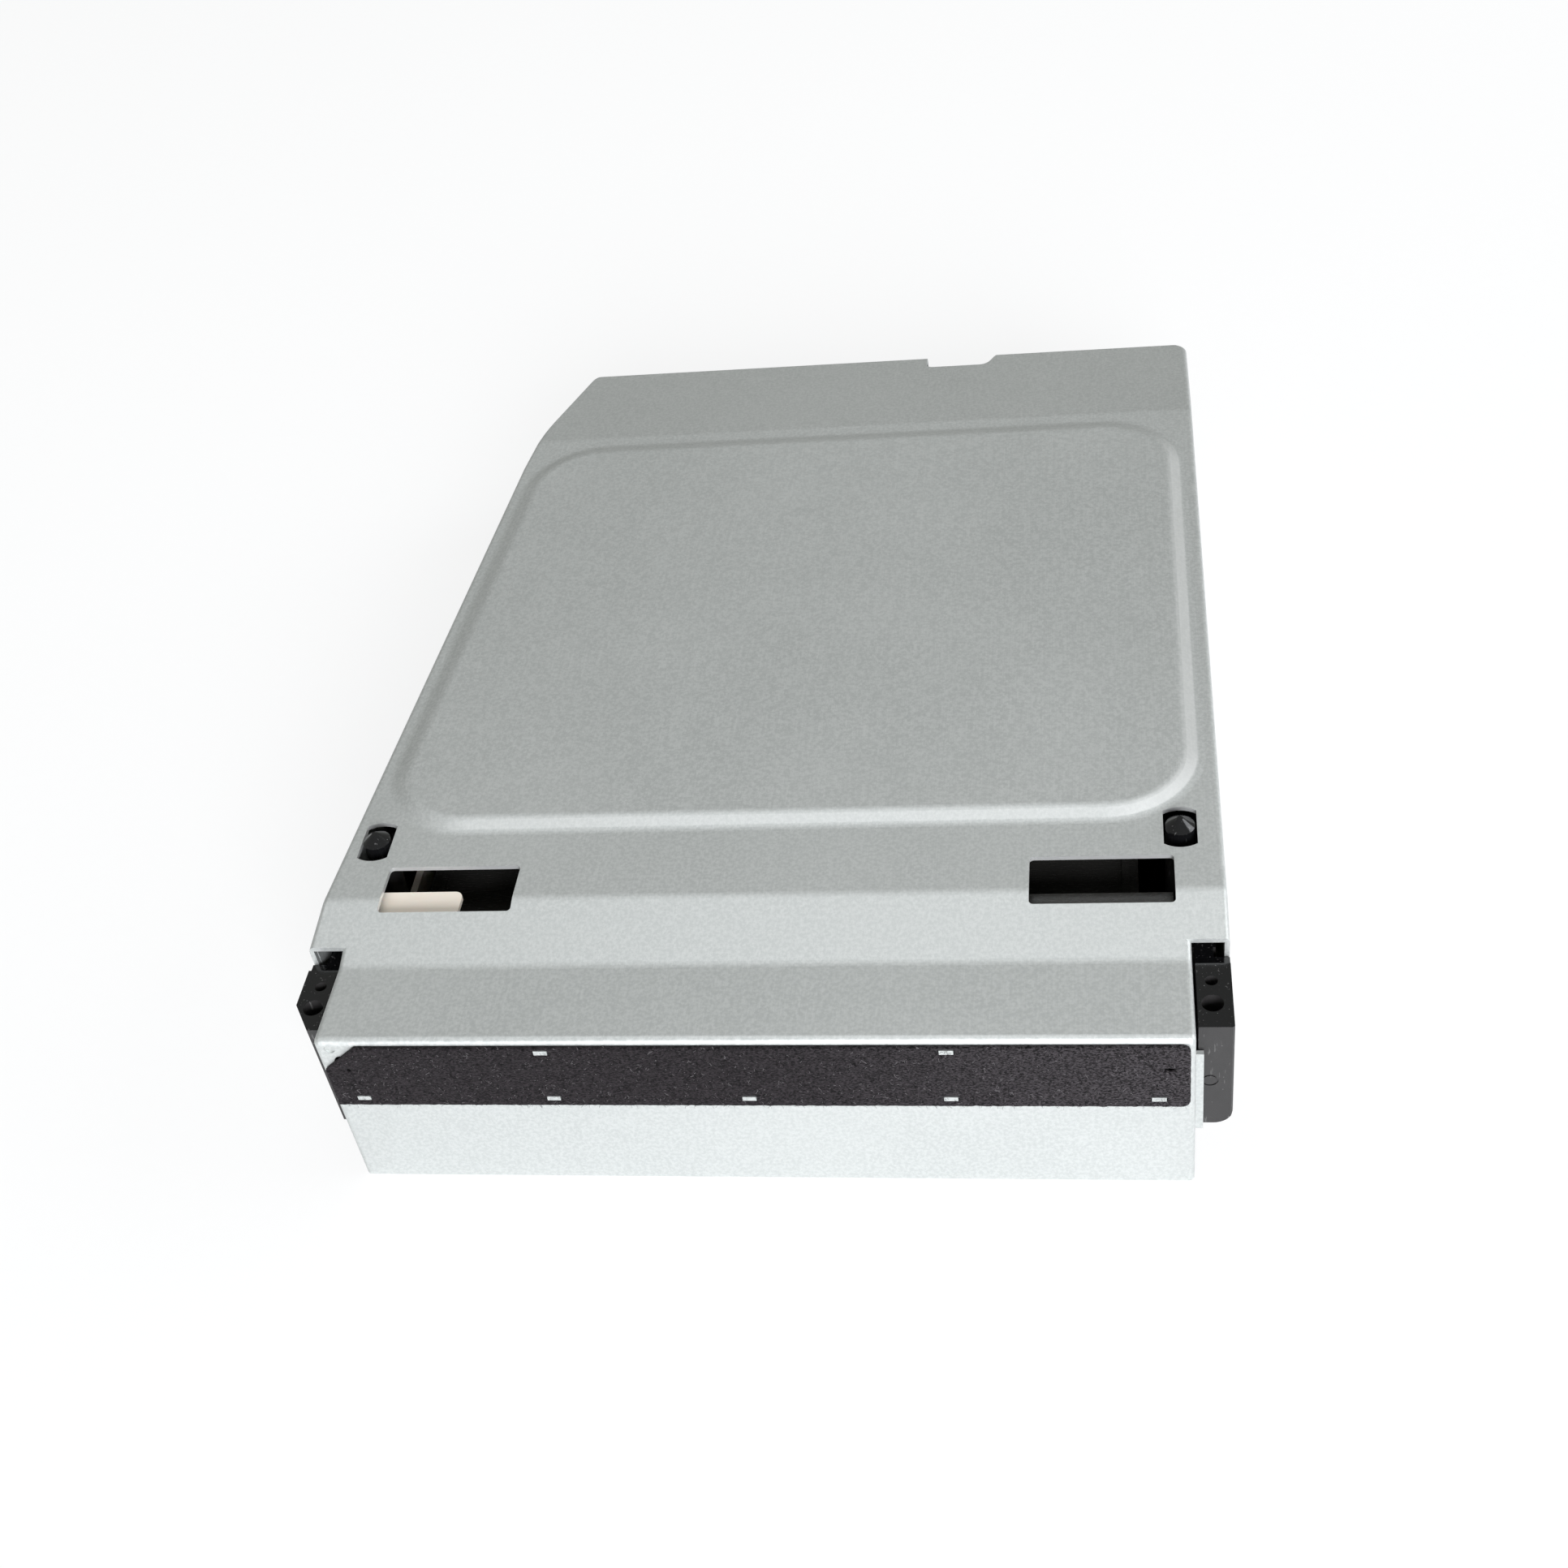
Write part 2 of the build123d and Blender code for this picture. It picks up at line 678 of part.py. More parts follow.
    # Columns for the hinges of the deck and the clamp arm
    for side in (-1, 1):
        with BuildSketch(Plane.XY.offset(frame_floor_top)):
            with Locations((side * column_x, at(deck_hinge_depth))):
                Rectangle(column_width, column_length)
        extrude(amount=arm_hinge_height + 2.6 - frame_floor_top)
        with BuildSketch(side_plane(side * (column_x - 4), deck_hinge_depth, 0)):
            with Locations((0, deck_hinge_height)):
                Circle(3.0)
            with Locations((0, arm_hinge_height)):
                Circle(1.2 + running_fit)
        extrude(amount=side * 8, mode=Mode.SUBTRACT)
    # Standoffs under the control board and bosses over the tray screws
    with BuildSketch(Plane.XY.offset(frame_floor_top)):
        with Locations(*[(x, at(depth)) for x, depth in board_screw_places]):
            Circle(3.0)
    extrude(amount=board_low - frame_floor_top)
    with BuildSketch(Plane.XY.offset(frame_floor_low)):
        with Locations(*[(x, at(depth)) for x, depth in screw_places]):
            Circle(3.4)
    extrude(amount=5.5)
    with BuildSketch(Plane.XY.offset(frame_floor_low - 0.5)):
        with Locations(*[(x, at(depth)) for x, depth in screw_places]):
            Circle(1.0 + running_fit)
        with Locations(*[(x, at(depth)) for x, depth in board_screw_places]):
            Circle(0.9 + running_fit)
    extrude(amount=5.0, mode=Mode.SUBTRACT)
    # Gap in the rear wall for the flat cable
    with BuildSketch(front_plane(case_length - 8)):
        with Locations((rear_notch_x + rear_notch_width / 2, 20)):
            Rectangle(rear_notch_width + 2, 27)
    extrude(amount=-8, mode=Mode.SUBTRACT)
save(chassis_frame, "chassis_frame")


# Felt strip: stuck over the disc slot, slit along the middle, pierced by the tabs of the cover
with BuildPart() as felt_strip:
    with BuildSketch(front_plane(0)) as felt:
        half_felt = felt_width / 2
        with BuildLine():
            Polyline(
                (-half_felt, felt_bottom),
                (half_felt, felt_bottom),
                (half_felt, felt_top),
                (-half_felt + 6.0, felt_top),
                (-half_felt, felt_top - 5.2),
                close=True,
            )
        make_face()
        fillet(felt.vertices().group_by(Axis.X)[-1], 1.2)
        # The slit ends in a small round hole on the left and gapes at its right end
        with Locations((0, slot_centre)):
            Rectangle(2 * felt_slit_end, felt_slit, mode=Mode.SUBTRACT)
        with Locations((-felt_slit_end, slot_centre)):
            Circle(0.45, mode=Mode.SUBTRACT)
        with Locations((felt_slit_end + 0.8, slot_centre)):
            Rectangle(1.8, 0.8, mode=Mode.SUBTRACT)
        with Locations(*tab_places):
            Rectangle(tab_width + tab_clear, tab_height + tab_clear, mode=Mode.SUBTRACT)
    extrude(amount=felt_thickness)
save(felt_strip, "felt_strip")


# Disc guides: moulded lips above and below the way in
guide_half_width = half_nose - frame_inset - slip_gap
upper_guide_low = frame_wall_top + plate_gap
upper_guide_rear = 32.6
with BuildPart() as upper_disc_guide:
    with BuildSketch(Plane.XY.offset(upper_guide_low)) as guide_plan:
        with BuildLine():
            Polyline(
                (-guide_half_width, at(2.2)),
                (guide_half_width, at(2.2)),
                (guide_half_width, at(notch_depth)),
                (guide_half_width, at(upper_guide_rear)),
                (right_window_x - window_width / 2 - 2, at(upper_guide_rear)),
                (right_window_x - window_width / 2 - 8, at(20)),
                (-guide_half_width + 22, at(20)),
                (-guide_half_width + 16, at(22.5)),
                (-guide_half_width, at(22.5)),
                close=True,
            )
        make_face()
    extrude(amount=1.2)
    # Two ribs that keep the disc off the plate, higher at the sides than in the middle
    for side in (-1, 1):
        with BuildSketch(front_plane(19)) as rib_face:
            with BuildLine():
                Polyline(
                    (side * 20, upper_guide_low),
                    (side * 61, upper_guide_low),
                    (side * 61, upper_guide_low - 1.0),
                    close=True,
                )
            make_face()
        extrude(amount=1.5)
save(upper_disc_guide, "upper_disc_guide")

with BuildPart() as lower_disc_guide:
    with BuildSketch(side_plane(-guide_half_width + 4, 0, 0)) as lip:
        with BuildLine():
            Polyline(
                (1.0, entry_floor + plate_gap),
                (4.4, entry_floor + plate_gap),
                (4.4, entry_floor + 2.8),
                (2.6, entry_floor + 2.8),
                (1.0, entry_floor + 1.9),
                close=True,
            )
        make_face()
    extrude(amount=2 * (guide_half_width - 4))
save(lower_disc_guide, "lower_disc_guide")

# Disc table: moulded plate behind the roller that the disc slides over, on a leg at each end
table_half_width = bracket_arm_x - 2 * slip_gap - 0.1
with BuildPart() as disc_table:
    with BuildSketch(Plane.XY.offset(table_top - table_thickness)):
        with Locations((0, at((table_front + table_rear) / 2))):
            Rectangle(2 * table_half_width, table_rear - table_front)
    extrude(amount=table_thickness)
    table_edges = disc_table.edges().filter_by(Axis.X).group_by(Axis.Z)[-1]
    chamfer(table_edges, 0.6)
    for side in (-1, 1):
        with BuildSketch(Plane.XY.offset(frame_floor_top)):
            with Locations((side * (table_half_width - table_leg / 2), at(table_rear - 4))):
                Rectangle(table_leg, 8)
        extrude(amount=table_top - table_thickness - frame_floor_top)
    # Ribs along the plate that the disc's edge rides on, away from its recorded face
    for side in (-1, 1):
        with BuildSketch(side_plane(side * (table_half_width - 1.5), 0, 0)):
            with BuildLine():
                Polyline(
                    (table_front + 1.5, table_top),
                    (table_rear - 1.0, table_top),
                    (table_rear - 3.0, table_top + 0.3),
                    (table_front + 4.0, table_top + 0.3),
                    close=True,
                )
            make_face()
        extrude(amount=-side * 1.2)
save(disc_table, "disc_table")


# Loading motor: steel can on its plate, with the shaft and pinion as a piece that turns
with BuildPart() as loading_motor:
    with BuildSketch(side_plane(motor_plate_x + plate_gap, motor_depth, motor_axis_height)):
        Circle(motor_radius)
        with Locations((0, motor_radius), (0, -motor_radius)):
            Rectangle(2 * motor_radius, 1.6, mode=Mode.SUBTRACT)
    extrude(amount=motor_length)
    can_ends = loading_motor.faces().filter_by(Axis.X).sort_by(Axis.X)[-1].edges()
    fillet(can_ends, 0.6)
    with BuildSketch(side_plane(motor_plate_x + motor_length, motor_depth, motor_axis_height)):
        Circle(2.4)
    extrude(amount=1.4)
    with BuildSketch(side_plane(motor_plate_x - motor_plate, motor_depth, motor_axis_height)):
        Circle(2.1)
    extrude(amount=motor_plate + 0.5)
    with BuildSketch(side_plane(motor_plate_x - motor_plate - 1, motor_depth, motor_axis_height)):
        Circle(0.8)
    extrude(amount=8, mode=Mode.SUBTRACT)
save(loading_motor, "loading_motor")

# The pinion's first tooth points at the drive gear
to_drive = degrees(atan2(drive_axis[1] - motor_axis_height, drive_axis[0] - motor_depth))
with BuildPart() as motor_pinion:
    with BuildSketch(side_plane(gear_x, motor_depth, motor_axis_height)):
        with BuildLine():
            Polyline(*gear_points(motor_gear_teeth, to_drive), close=True)
        make_face()
    extrude(amount=gear_width)
    with BuildSketch(side_plane(gear_x, motor_depth, motor_axis_height)):
        Circle(0.8 - running_fit)
    extrude(amount=motor_plate_x - motor_plate - gear_x + 6)
    chamfer(motor_pinion.edges().group_by(Axis.X)[-1], 0.2)
save(motor_pinion, "motor_pinion")


# Drive gear: spur gear and belt pulley in one moulding, on a steel pin
with BuildPart() as drive_pin:
    with BuildSketch(side_plane(-wall_inner_front - 0.8, *drive_axis)):
        Circle(drive_pin_radius)
    extrude(amount=wall_inner_front + 0.8 + pulley_x + pulley_width + 0.6)
    chamfer(drive_pin.edges().filter_by(GeomType.CIRCLE), 0.2)
save(drive_pin, "drive_pin")

with BuildPart() as drive_gear:
    with BuildSketch(side_plane(gear_x, *drive_axis)) as wheel:
        with BuildLine():
            Polyline(
                *gear_points(drive_gear_teeth, to_drive + 180 + 180 / drive_gear_teeth), close=True
            )
        make_face()
        with PolarLocations(5.6, 5):
            Circle(1.5, mode=Mode.SUBTRACT)
    extrude(amount=gear_width)
    with BuildSketch(side_plane(gear_x + gear_width, *drive_axis)):
        Circle(3.0)
    extrude(amount=pulley_x - gear_x - gear_width)
    with BuildSketch(side_plane(pulley_x, *drive_axis)):
        Circle(drive_pulley_radius)
    extrude(amount=pulley_width)
    with BuildSketch(side_plane(gear_x - 0.3, *drive_axis)):
        Circle(drive_pin_radius + running_fit)
    extrude(amount=pulley_width + 8, mode=Mode.SUBTRACT)
save(drive_gear, "drive_gear")


# Roller bracket: bent steel, swings on the drive pin and on a second pin across from it
rest_angle = degrees(asin((roller_rest_height - drive_axis[1]) / bracket_reach))
lift_angle = degrees(asin((roller_rest_height + roller_lift - drive_axis[1]) / bracket_reach))
bracket_swing = lift_angle - rest_angle
roller_depth = drive_axis[0] - bracket_reach * cos(radians(rest_angle))
tail_reach = 18.0
tail_rise = 2.0
tail_pin_radius = 0.9

with BuildPart() as bracket_pin:
    with BuildSketch(side_plane(bracket_arm_x - 0.8, *drive_axis)):
        Circle(drive_pin_radius)
    extrude(amount=wall_inner_front + 0.8 - bracket_arm_x + 0.8)
    chamfer(bracket_pin.edges().filter_by(GeomType.CIRCLE), 0.2)
save(bracket_pin, "bracket_pin")

with BuildPart() as roller_bracket:
    for left_face in (-bracket_arm_x - bracket_plate, bracket_arm_x):
        with BuildSketch(side_plane(left_face, 0, 0)) as arm:
            with Locations(drive_axis):
                Circle(2.8)
            with Locations((roller_depth, roller_rest_height)):
                Circle(2.8)
            with Locations((bracket_bar_depth + bracket_plate / 2, 14.8)):
                Rectangle(bracket_plate, 5.4)
            make_hull()
            with Locations(drive_axis):
                Circle(drive_pin_radius + running_fit, mode=Mode.SUBTRACT)
            with Locations((roller_depth, roller_rest_height)):
                Circle(roller_core_radius + running_fit, mode=Mode.SUBTRACT)
        extrude(amount=bracket_plate)
    with BuildSketch(front_plane(bracket_bar_depth)):
        with Locations((0, 14.8)):
            Rectangle(2 * bracket_arm_x + 0.4, 5.4)
    extrude(amount=-bracket_plate)
    # Tail with the cam pin, on the left arm only
    with BuildSketch(side_plane(-bracket_arm_x - bracket_plate, 0, 0)) as tail:
        with Locations((drive_axis[0] + 4, drive_axis[1])):
            Circle(2.0)
        with Locations((drive_axis[0] + tail_reach, drive_axis[1] + tail_rise)):
            Circle(1.9)
        make_hull()
        with Locations(drive_axis):
            Circle(drive_pin_radius + running_fit, mode=Mode.SUBTRACT)
    extrude(amount=bracket_plate)
    with BuildSketch(
        side_plane(slider_x, drive_axis[0] + tail_reach, drive_axis[1] + tail_rise)
    ):
        Circle(tail_pin_radius)
    extrude(amount=-bracket_arm_x - slider_x)
save(roller_bracket, "roller_bracket")


# Feed roller: steel shaft, two tapered rubber sleeves, and a pulley pressed on the left end
with BuildPart() as roller_shaft:
    with BuildSketch(side_plane(-bracket_arm_x - bracket_plate - 0.4, roller_depth, roller_rest_height)):
        Circle(roller_core_radius)
    extrude(amount=2 * (bracket_arm_x + bracket_plate + 0.4))
    chamfer(roller_shaft.edges().filter_by(GeomType.CIRCLE), 0.3)
save(roller_shaft, "roller_shaft")

with BuildPart() as feed_rollers:
    for side in (-1, 1):
        with BuildSketch(Plane.XY.offset(roller_rest_height)) as sleeve:
            with BuildLine():
                Polyline(
                    (side * 3.0, at(roller_depth) + roller_core_radius + running_fit),
                    (side * roller_half_length, at(roller_depth) + roller_core_radius + running_fit),
                    (side * roller_half_length, at(roller_depth) + roller_radius),
                    (side * (roller_half_length - 16), at(roller_depth) + roller_radius),
                    (side * 3.0, at(roller_depth) + roller_waist),
                    close=True,
                )
            make_face()
        revolve(axis=Axis((0, at(roller_depth), roller_rest_height), (1, 0, 0)))
save(feed_rollers, "feed_rollers")

with BuildPart() as roller_pulley:
    with BuildSketch(side_plane(pulley_x, roller_depth, roller_rest_height)):
        Circle(roller_pulley_radius)
        Circle(roller_core_radius + running_fit, mode=Mode.SUBTRACT)
    extrude(amount=pulley_width)
save(roller_pulley, "roller_pulley")

# Drive belt: rubber loop round both pulleys, which swings with the bracket
with BuildPart() as drive_belt:
    with BuildSketch(side_plane(pulley_x + 0.4, 0, 0)) as loop:
        with Locations(drive_axis):
            Circle(drive_pulley_radius + running_fit + belt_thickness)
        with Locations((roller_depth, roller_rest_height)):
            Circle(roller_pulley_radius + running_fit + belt_thickness)
        make_hull()
    extrude(amount=pulley_width - 0.8)
    with BuildSketch(side_plane(pulley_x + 0.4, 0, 0)) as loop_inside:
        with Locations(drive_axis):
            Circle(drive_pulley_radius + running_fit)
        with Locations((roller_depth, roller_rest_height)):
            Circle(roller_pulley_radius + running_fit)
        make_hull()
    extrude(amount=pulley_width - 0.8, mode=Mode.SUBTRACT)
save(drive_belt, "drive_belt")


# Cam slider: cream moulding beside the left wall, with a slot for each piece that it moves
deck_reach = deck_hinge_depth - deck_pin_depth
deck_drop = deck_reach * sin(radians(deck_drop_angle))
tail_lowered = (
    drive_axis[1]
    + tail_rise * cos(radians(bracket_swing))
    - tail_reach * sin(radians(bracket_swing))
)
foot_lift = (deck_hinge_depth - arm_foot_depth) * sin(radians(arm_lift_angle))
slider_crown = arm_foot_height - slip_gap


def cam_slot(start, end, radius):
    """Points for a straight slot from start to end, as hull circles in a side sketch."""
    with Locations(start, end):
        Circle(radius)
    make_hull()


with BuildPart() as cam_slider:
    with BuildSketch(side_plane(slider_x, 0, 0)) as slider_wall:
        with BuildLine():
            Polyline(
                (slider_front, slider_bottom),
                (slider_rear, slider_bottom),
                (slider_rear, slider_crown),
                (arm_foot_depth - 2.5, slider_crown),
                (arm_foot_depth - 8.5, slider_crown + foot_lift - 0.1),
                (arm_foot_depth - 12.0, slider_crown + foot_lift - 0.1),
                (arm_foot_depth - 13.5, slider_top),
                (flange_rear + 1.6, slider_top),
                (flange_rear, slider_top + 1.6),
                (flange_rear, flange_top),
                (slider_front, flange_top),
                close=True,
            )
        make_face()
    extrude(amount=slider_plate)
    with BuildSketch(Plane.XY.offset(flange_top - flange_thickness)) as flange:
        with Locations(((slider_x + flange_right_x) / 2, at((flange_front + flange_rear) / 2))):
            Rectangle(flange_right_x - slider_x, flange_rear - flange_front)
        fillet(flange.vertices().group_by(Axis.X)[-1], 1.4)
    extrude(amount=flange_thickness)
    with BuildSketch(side_plane(slider_x - 1, 0, 0)) as bracket_slot:
        cam_slot(
            (drive_axis[0] + tail_reach, drive_axis[1] + tail_rise),
            (drive_axis[0] + tail_reach - slider_travel, tail_lowered),
            tail_pin_radius + slip_gap + 0.1,
        )
    extrude(amount=slider_plate + 2, mode=Mode.SUBTRACT)
    with BuildSketch(side_plane(slider_x - 1, 0, 0)) as deck_slot:
        cam_slot(
            (deck_pin_depth, deck_pin_height),
            (deck_pin_depth - slider_travel, deck_pin_height - deck_drop),
            deck_pin_radius + slip_gap + 0.1,
        )
    extrude(amount=slider_plate + 2, mode=Mode.SUBTRACT)
save(cam_slider, "cam_slider")


# Deck: steel plate hinged at the rear, raised and lowered at the front by the cam slider
deck_top = deck_plane + deck_plate_thickness
with BuildPart() as deck_plate:
    with BuildSketch(Plane.XY.offset(deck_plane)) as deck_plan:
        with Locations((0, at((deck_front + deck_rear) / 2))):
            RectangleRounded(2 * deck_half_width, deck_rear - deck_front, 4)
        with Locations((0, at(spindle_depth))):
            Circle(5.0, mode=Mode.SUBTRACT)
        with Locations((0, at((sled_front + sled_rear + sled_travel) / 2 + 1))):
            Rectangle(
                2 * rod_x + 12, sled_rear + sled_travel - sled_front + 3, mode=Mode.SUBTRACT
            )
        with Locations((screw_x - 1, at((sled_front + sled_rear + sled_travel) / 2 - 2))):
            Rectangle(6, sled_rear + sled_travel - sled_front - 4, mode=Mode.SUBTRACT)
        with Locations((-24, at(deck_front + 16)), (24, at(deck_front + 16))):
            Circle(7, mode=Mode.SUBTRACT)
    extrude(amount=deck_plate_thickness)
    # Turned-down lip across the front
    with BuildSketch(Plane.XY.offset(deck_plane)):
        with Locations((0, at(deck_front + deck_plate_thickness / 2))):
            Rectangle(2 * deck_half_width - 10, deck_plate_thickness)
    extrude(amount=-4.0)
    # Hinge pins and the cam pin
    for side in (-1, 1):
        with BuildSketch(side_plane(side * (deck_half_width - 1), deck_hinge_depth, deck_hinge_height)):
            Circle(1.5)
        extrude(amount=side * (column_x + column_width / 2 - deck_half_width + 1))
        with BuildSketch(Plane.XY.offset(deck_plane - 0.9)):
            with Locations((side * (deck_half_width - 1), at(deck_hinge_depth))):
                Rectangle(2, 5)
        extrude(amount=3.0)
    with BuildSketch(side_plane(slider_x, deck_pin_depth, deck_pin_height)):
        Circle(deck_pin_radius)
    extrude(amount=-deck_half_width + 2 - slider_x)
    with BuildSketch(Plane.XY.offset(deck_plane)):
        with Locations((1 - deck_half_width, at(deck_pin_depth))):
            Rectangle(2, 4)
    extrude(amount=-2.6)
save(deck_plate, "deck_plate")

# Rubber grommets round the hinge pins of the deck
with BuildPart() as deck_grommets:
    for side in (-1, 1):
        inner_face = column_x - column_width / 2
        with BuildSketch(side_plane(side * inner_face, deck_hinge_depth, deck_hinge_height)):
            Circle(3.0 - running_fit)
            Circle(1.5 + running_fit, mode=Mode.SUBTRACT)
        extrude(amount=side * column_width)
save(deck_grommets, "deck_grommets")


# Spindle motor under the deck, and the turntable that it turns
platter_top = disc_plane
with BuildPart() as spindle_motor:
    with BuildSketch(Plane.XY.offset(deck_plane)):
        with Locations((0, at(spindle_depth))):
            Circle(spindle_motor_radius)
            with PolarLocations(spindle_motor_radius, 3, 90):
                Circle(3.0)
    extrude(amount=-1.4)
    with BuildSketch(Plane.XY.offset(deck_plane - 1.4)):
        with Locations((0, at(spindle_depth))):
            Circle(4.6)
    extrude(amount=6.0)
    with BuildSketch(Plane.XY.offset(deck_plane)):
        with Locations((0, at(spindle_depth))):
            Circle(spindle_shaft_radius + running_fit)
    extrude(amount=8, mode=Mode.SUBTRACT)
save(spindle_motor, "spindle_motor")

with BuildPart() as turntable:
    with BuildSketch(Plane.XZ.offset(-at(spindle_depth))) as rotor:
        with BuildLine():
            Polyline(
                (0, deck_plane + 0.3),
                (spindle_shaft_radius, deck_plane + 0.3),
                (spindle_shaft_radius, deck_top + 5.2),
                (spindle_motor_radius - 2.3, deck_top + 5.2),
                (spindle_motor_radius - 2.3, deck_top + 0.5),
                (spindle_motor_radius - 1.5, deck_top + 0.5),
                (spindle_motor_radius - 1.5, platter_top - 2.4),
                (platter_radius, platter_top - 2.4),
                (platter_radius, platter_top),
                (boss_radius + 0.2, platter_top),
                (boss_radius, platter_top + 1.0),
                (boss_radius - 1.6, platter_top + 2.2),
                (0, platter_top + 2.2),
                close=True,
            )
        make_face()
    revolve(axis=Axis((0, at(spindle_depth), 0), (0, 0, 1)))
save(turntable, "turntable")


# Guide rods, their clamps, and the feed screw with its motor
with BuildPart() as guide_rods:
    for side in (-1, 1):
        with BuildSketch(front_plane(rod_rear)):
            with Locations((side * rod_x, rod_height)):
                Circle(rod_radius)
        extrude(amount=rod_rear - rod_front)
    chamfer(guide_rods.edges().filter_by(GeomType.CIRCLE), 0.3)
save(guide_rods, "guide_rods")

clamp_length = 4.5
with BuildPart() as rod_clamps:
    for clamp_rear in (rod_rear, sled_front - 0.6):
        for side in (-1, 1):
            with BuildSketch(front_plane(clamp_rear)):
                with Locations((side * rod_x, (rod_height - 2.6 + deck_plane - plate_gap) / 2)):
                    Rectangle(6.4, deck_plane - plate_gap - rod_height + 2.6)
                with Locations((side * rod_x, rod_height)):
                    Circle(rod_radius + running_fit, mode=Mode.SUBTRACT)
            extrude(amount=clamp_length)
save(rod_clamps, "rod_clamps")

screw_front = feed_motor_front + feed_motor_length - 2
with BuildPart() as lead_screw:
    with BuildSketch(Plane(origin=(screw_x, 0, screw_height))) as thread:
        thread_start = feed_motor_front + feed_motor_length + 2
        thread_count = 28
        thread_pitch = (rod_rear - 5 - thread_start) / thread_count
        edge = [(0, at(screw_front)), (0.9, at(screw_front)), (0.9, at(thread_start))]
        for turn in range(thread_count):
            root_y = at(thread_start + turn * thread_pitch)
            edge.append((screw_radius, root_y + 0.25 * thread_pitch))
            edge.append((screw_radius, root_y + 0.55 * thread_pitch))
            edge.append((1.1, root_y + 0.8 * thread_pitch))
        edge += [(0.9, at(rod_rear - 5)), (0.9, at(rod_rear - 1)), (0, at(rod_rear - 1))]
        with BuildLine():
            Polyline(*edge, close=True)
        make_face()
    revolve(axis=Axis((screw_x, 0, screw_height), (0, 1, 0)))
save(lead_screw, "lead_screw")

with BuildPart() as feed_motor:
    with BuildSketch(front_plane(feed_motor_front + feed_motor_length)):
        with Locations((screw_x, screw_height)):
            Circle(feed_motor_radius)
    extrude(amount=feed_motor_length)
    fillet(feed_motor.edges().filter_by(GeomType.CIRCLE).group_by(Axis.Y)[0], 0.5)
    with BuildSketch(front_plane(feed_motor_front + feed_motor_length)):
        with Locations((screw_x, screw_height)):
            Circle(0.9 + running_fit)
    extrude(amount=3, mode=Mode.SUBTRACT)
save(feed_motor, "feed_motor")

with BuildPart() as screw_bearing:
    with BuildSketch(front_plane(rod_rear)):
        with Locations((screw_x, (screw_height - 2.2 + deck_plane - plate_gap) / 2)):
            Rectangle(5.0, deck_plane - plate_gap - screw_height + 2.2)
        with Locations((screw_x, screw_height)):
            Circle(0.9 + running_fit, mode=Mode.SUBTRACT)
    extrude(amount=4.5)
save(screw_bearing, "screw_bearing")


# Pickup: die-cast sled on the rods, with its cover, lens holder, lens and screw follower
sled_half_width = rod_x + 3.2
with BuildPart() as pickup_sled:
    with BuildSketch(Plane.XY.offset(sled_bottom)) as sled_plan:
        with Locations((0, at((sled_front + sled_rear) / 2))):
            Rectangle(2 * rod_x - 6, sled_rear - sled_front)
        with Locations((-rod_x, at(sled_rear - 9)), (rod_x, at(sled_rear - 9))):
            Rectangle(6.4, 16)
        with Locations((0, at(spindle_depth))):
            Circle(spindle_motor_radius + 5.2, mode=Mode.SUBTRACT)
    extrude(amount=6.4)
    with BuildSketch(Plane.XY.offset(sled_bottom)) as sled_core:
        with Locations((0, at((sled_front + sled_rear) / 2))):
            RectangleRounded(2 * rod_x - 8, sled_rear - sled_front - 1, 2)
        with Locations((0, at(spindle_depth))):
            Circle(spindle_motor_radius + 5.2, mode=Mode.SUBTRACT)
    extrude(amount=sled_top - sled_bottom)
    for side in (-1, 1):
        with BuildSketch(front_plane(sled_rear + 8)):
            with Locations((side * rod_x, rod_height)):
                Circle(rod_radius + running_fit)
        extrude(amount=sled_rear - sled_front + 16, mode=Mode.SUBTRACT)
    # Well for the lens holder
    with BuildSketch(Plane.XY.offset(sled_top)):
        with Locations((0, at(lens_depth))):
            RectangleRounded(holder_width + 2 * slip_gap, holder_length + 2 * slip_gap, 1.0)
    extrude(amount=-(holder_depth + 0.8), mode=Mode.SUBTRACT)
save(pickup_sled, "pickup_sled")

with BuildPart() as lens_cover:
    with BuildSketch(Plane.XY.offset(sled_top)) as cover_plan:
        with Locations((0, at((sled_front + sled_rear) / 2 + 3.5))):
            RectangleRounded(40, sled_rear - sled_front - 8.5, 2.5)
        with Locations((0, at(lens_depth))):
            RectangleRounded(holder_width + 1.0, holder_length + 1.0, 1.0, mode=Mode.SUBTRACT)
    extrude(amount=0.8)
save(lens_cover, "lens_cover")

holder_low = sled_top - holder_depth
lens_seat = lens_top - 2.1
with BuildPart() as lens_holder:
    with BuildSketch(Plane.XY.offset(holder_low)):
        with Locations((0, at(lens_depth))):
            RectangleRounded(holder_width, holder_length, 1.0)
    extrude(amount=holder_depth - 0.6)
    with BuildSketch(Plane.XY.offset(sled_top - 0.6)):
        with Locations((0, at(lens_depth))):
            Circle(lens_radius + 0.8)
    extrude(amount=lens_top - 0.5 - sled_top + 0.6)
    with BuildSketch(Plane.XY.offset(lens_seat)):
        with Locations((0, at(lens_depth))):
            Circle(lens_radius + running_fit)
    extrude(amount=2.0, mode=Mode.SUBTRACT)
save(lens_holder, "lens_holder")

with BuildPart() as objective_lens:
    with BuildSketch(Plane.XZ.offset(-at(lens_depth))) as lens_half:
        with BuildLine():
            crown = ThreePointArc(
                (0, lens_top - 0.2), (lens_radius / 2, lens_top - 0.4), (lens_radius, lens_top - 1.0)
            )
            Polyline(crown @ 1, (lens_radius, lens_seat), (0, lens_seat), crown @ 0)
        make_face()
    revolve(axis=Axis((0, at(lens_depth), 0), (0, 0, 1)))
save(objective_lens, "objective_lens")

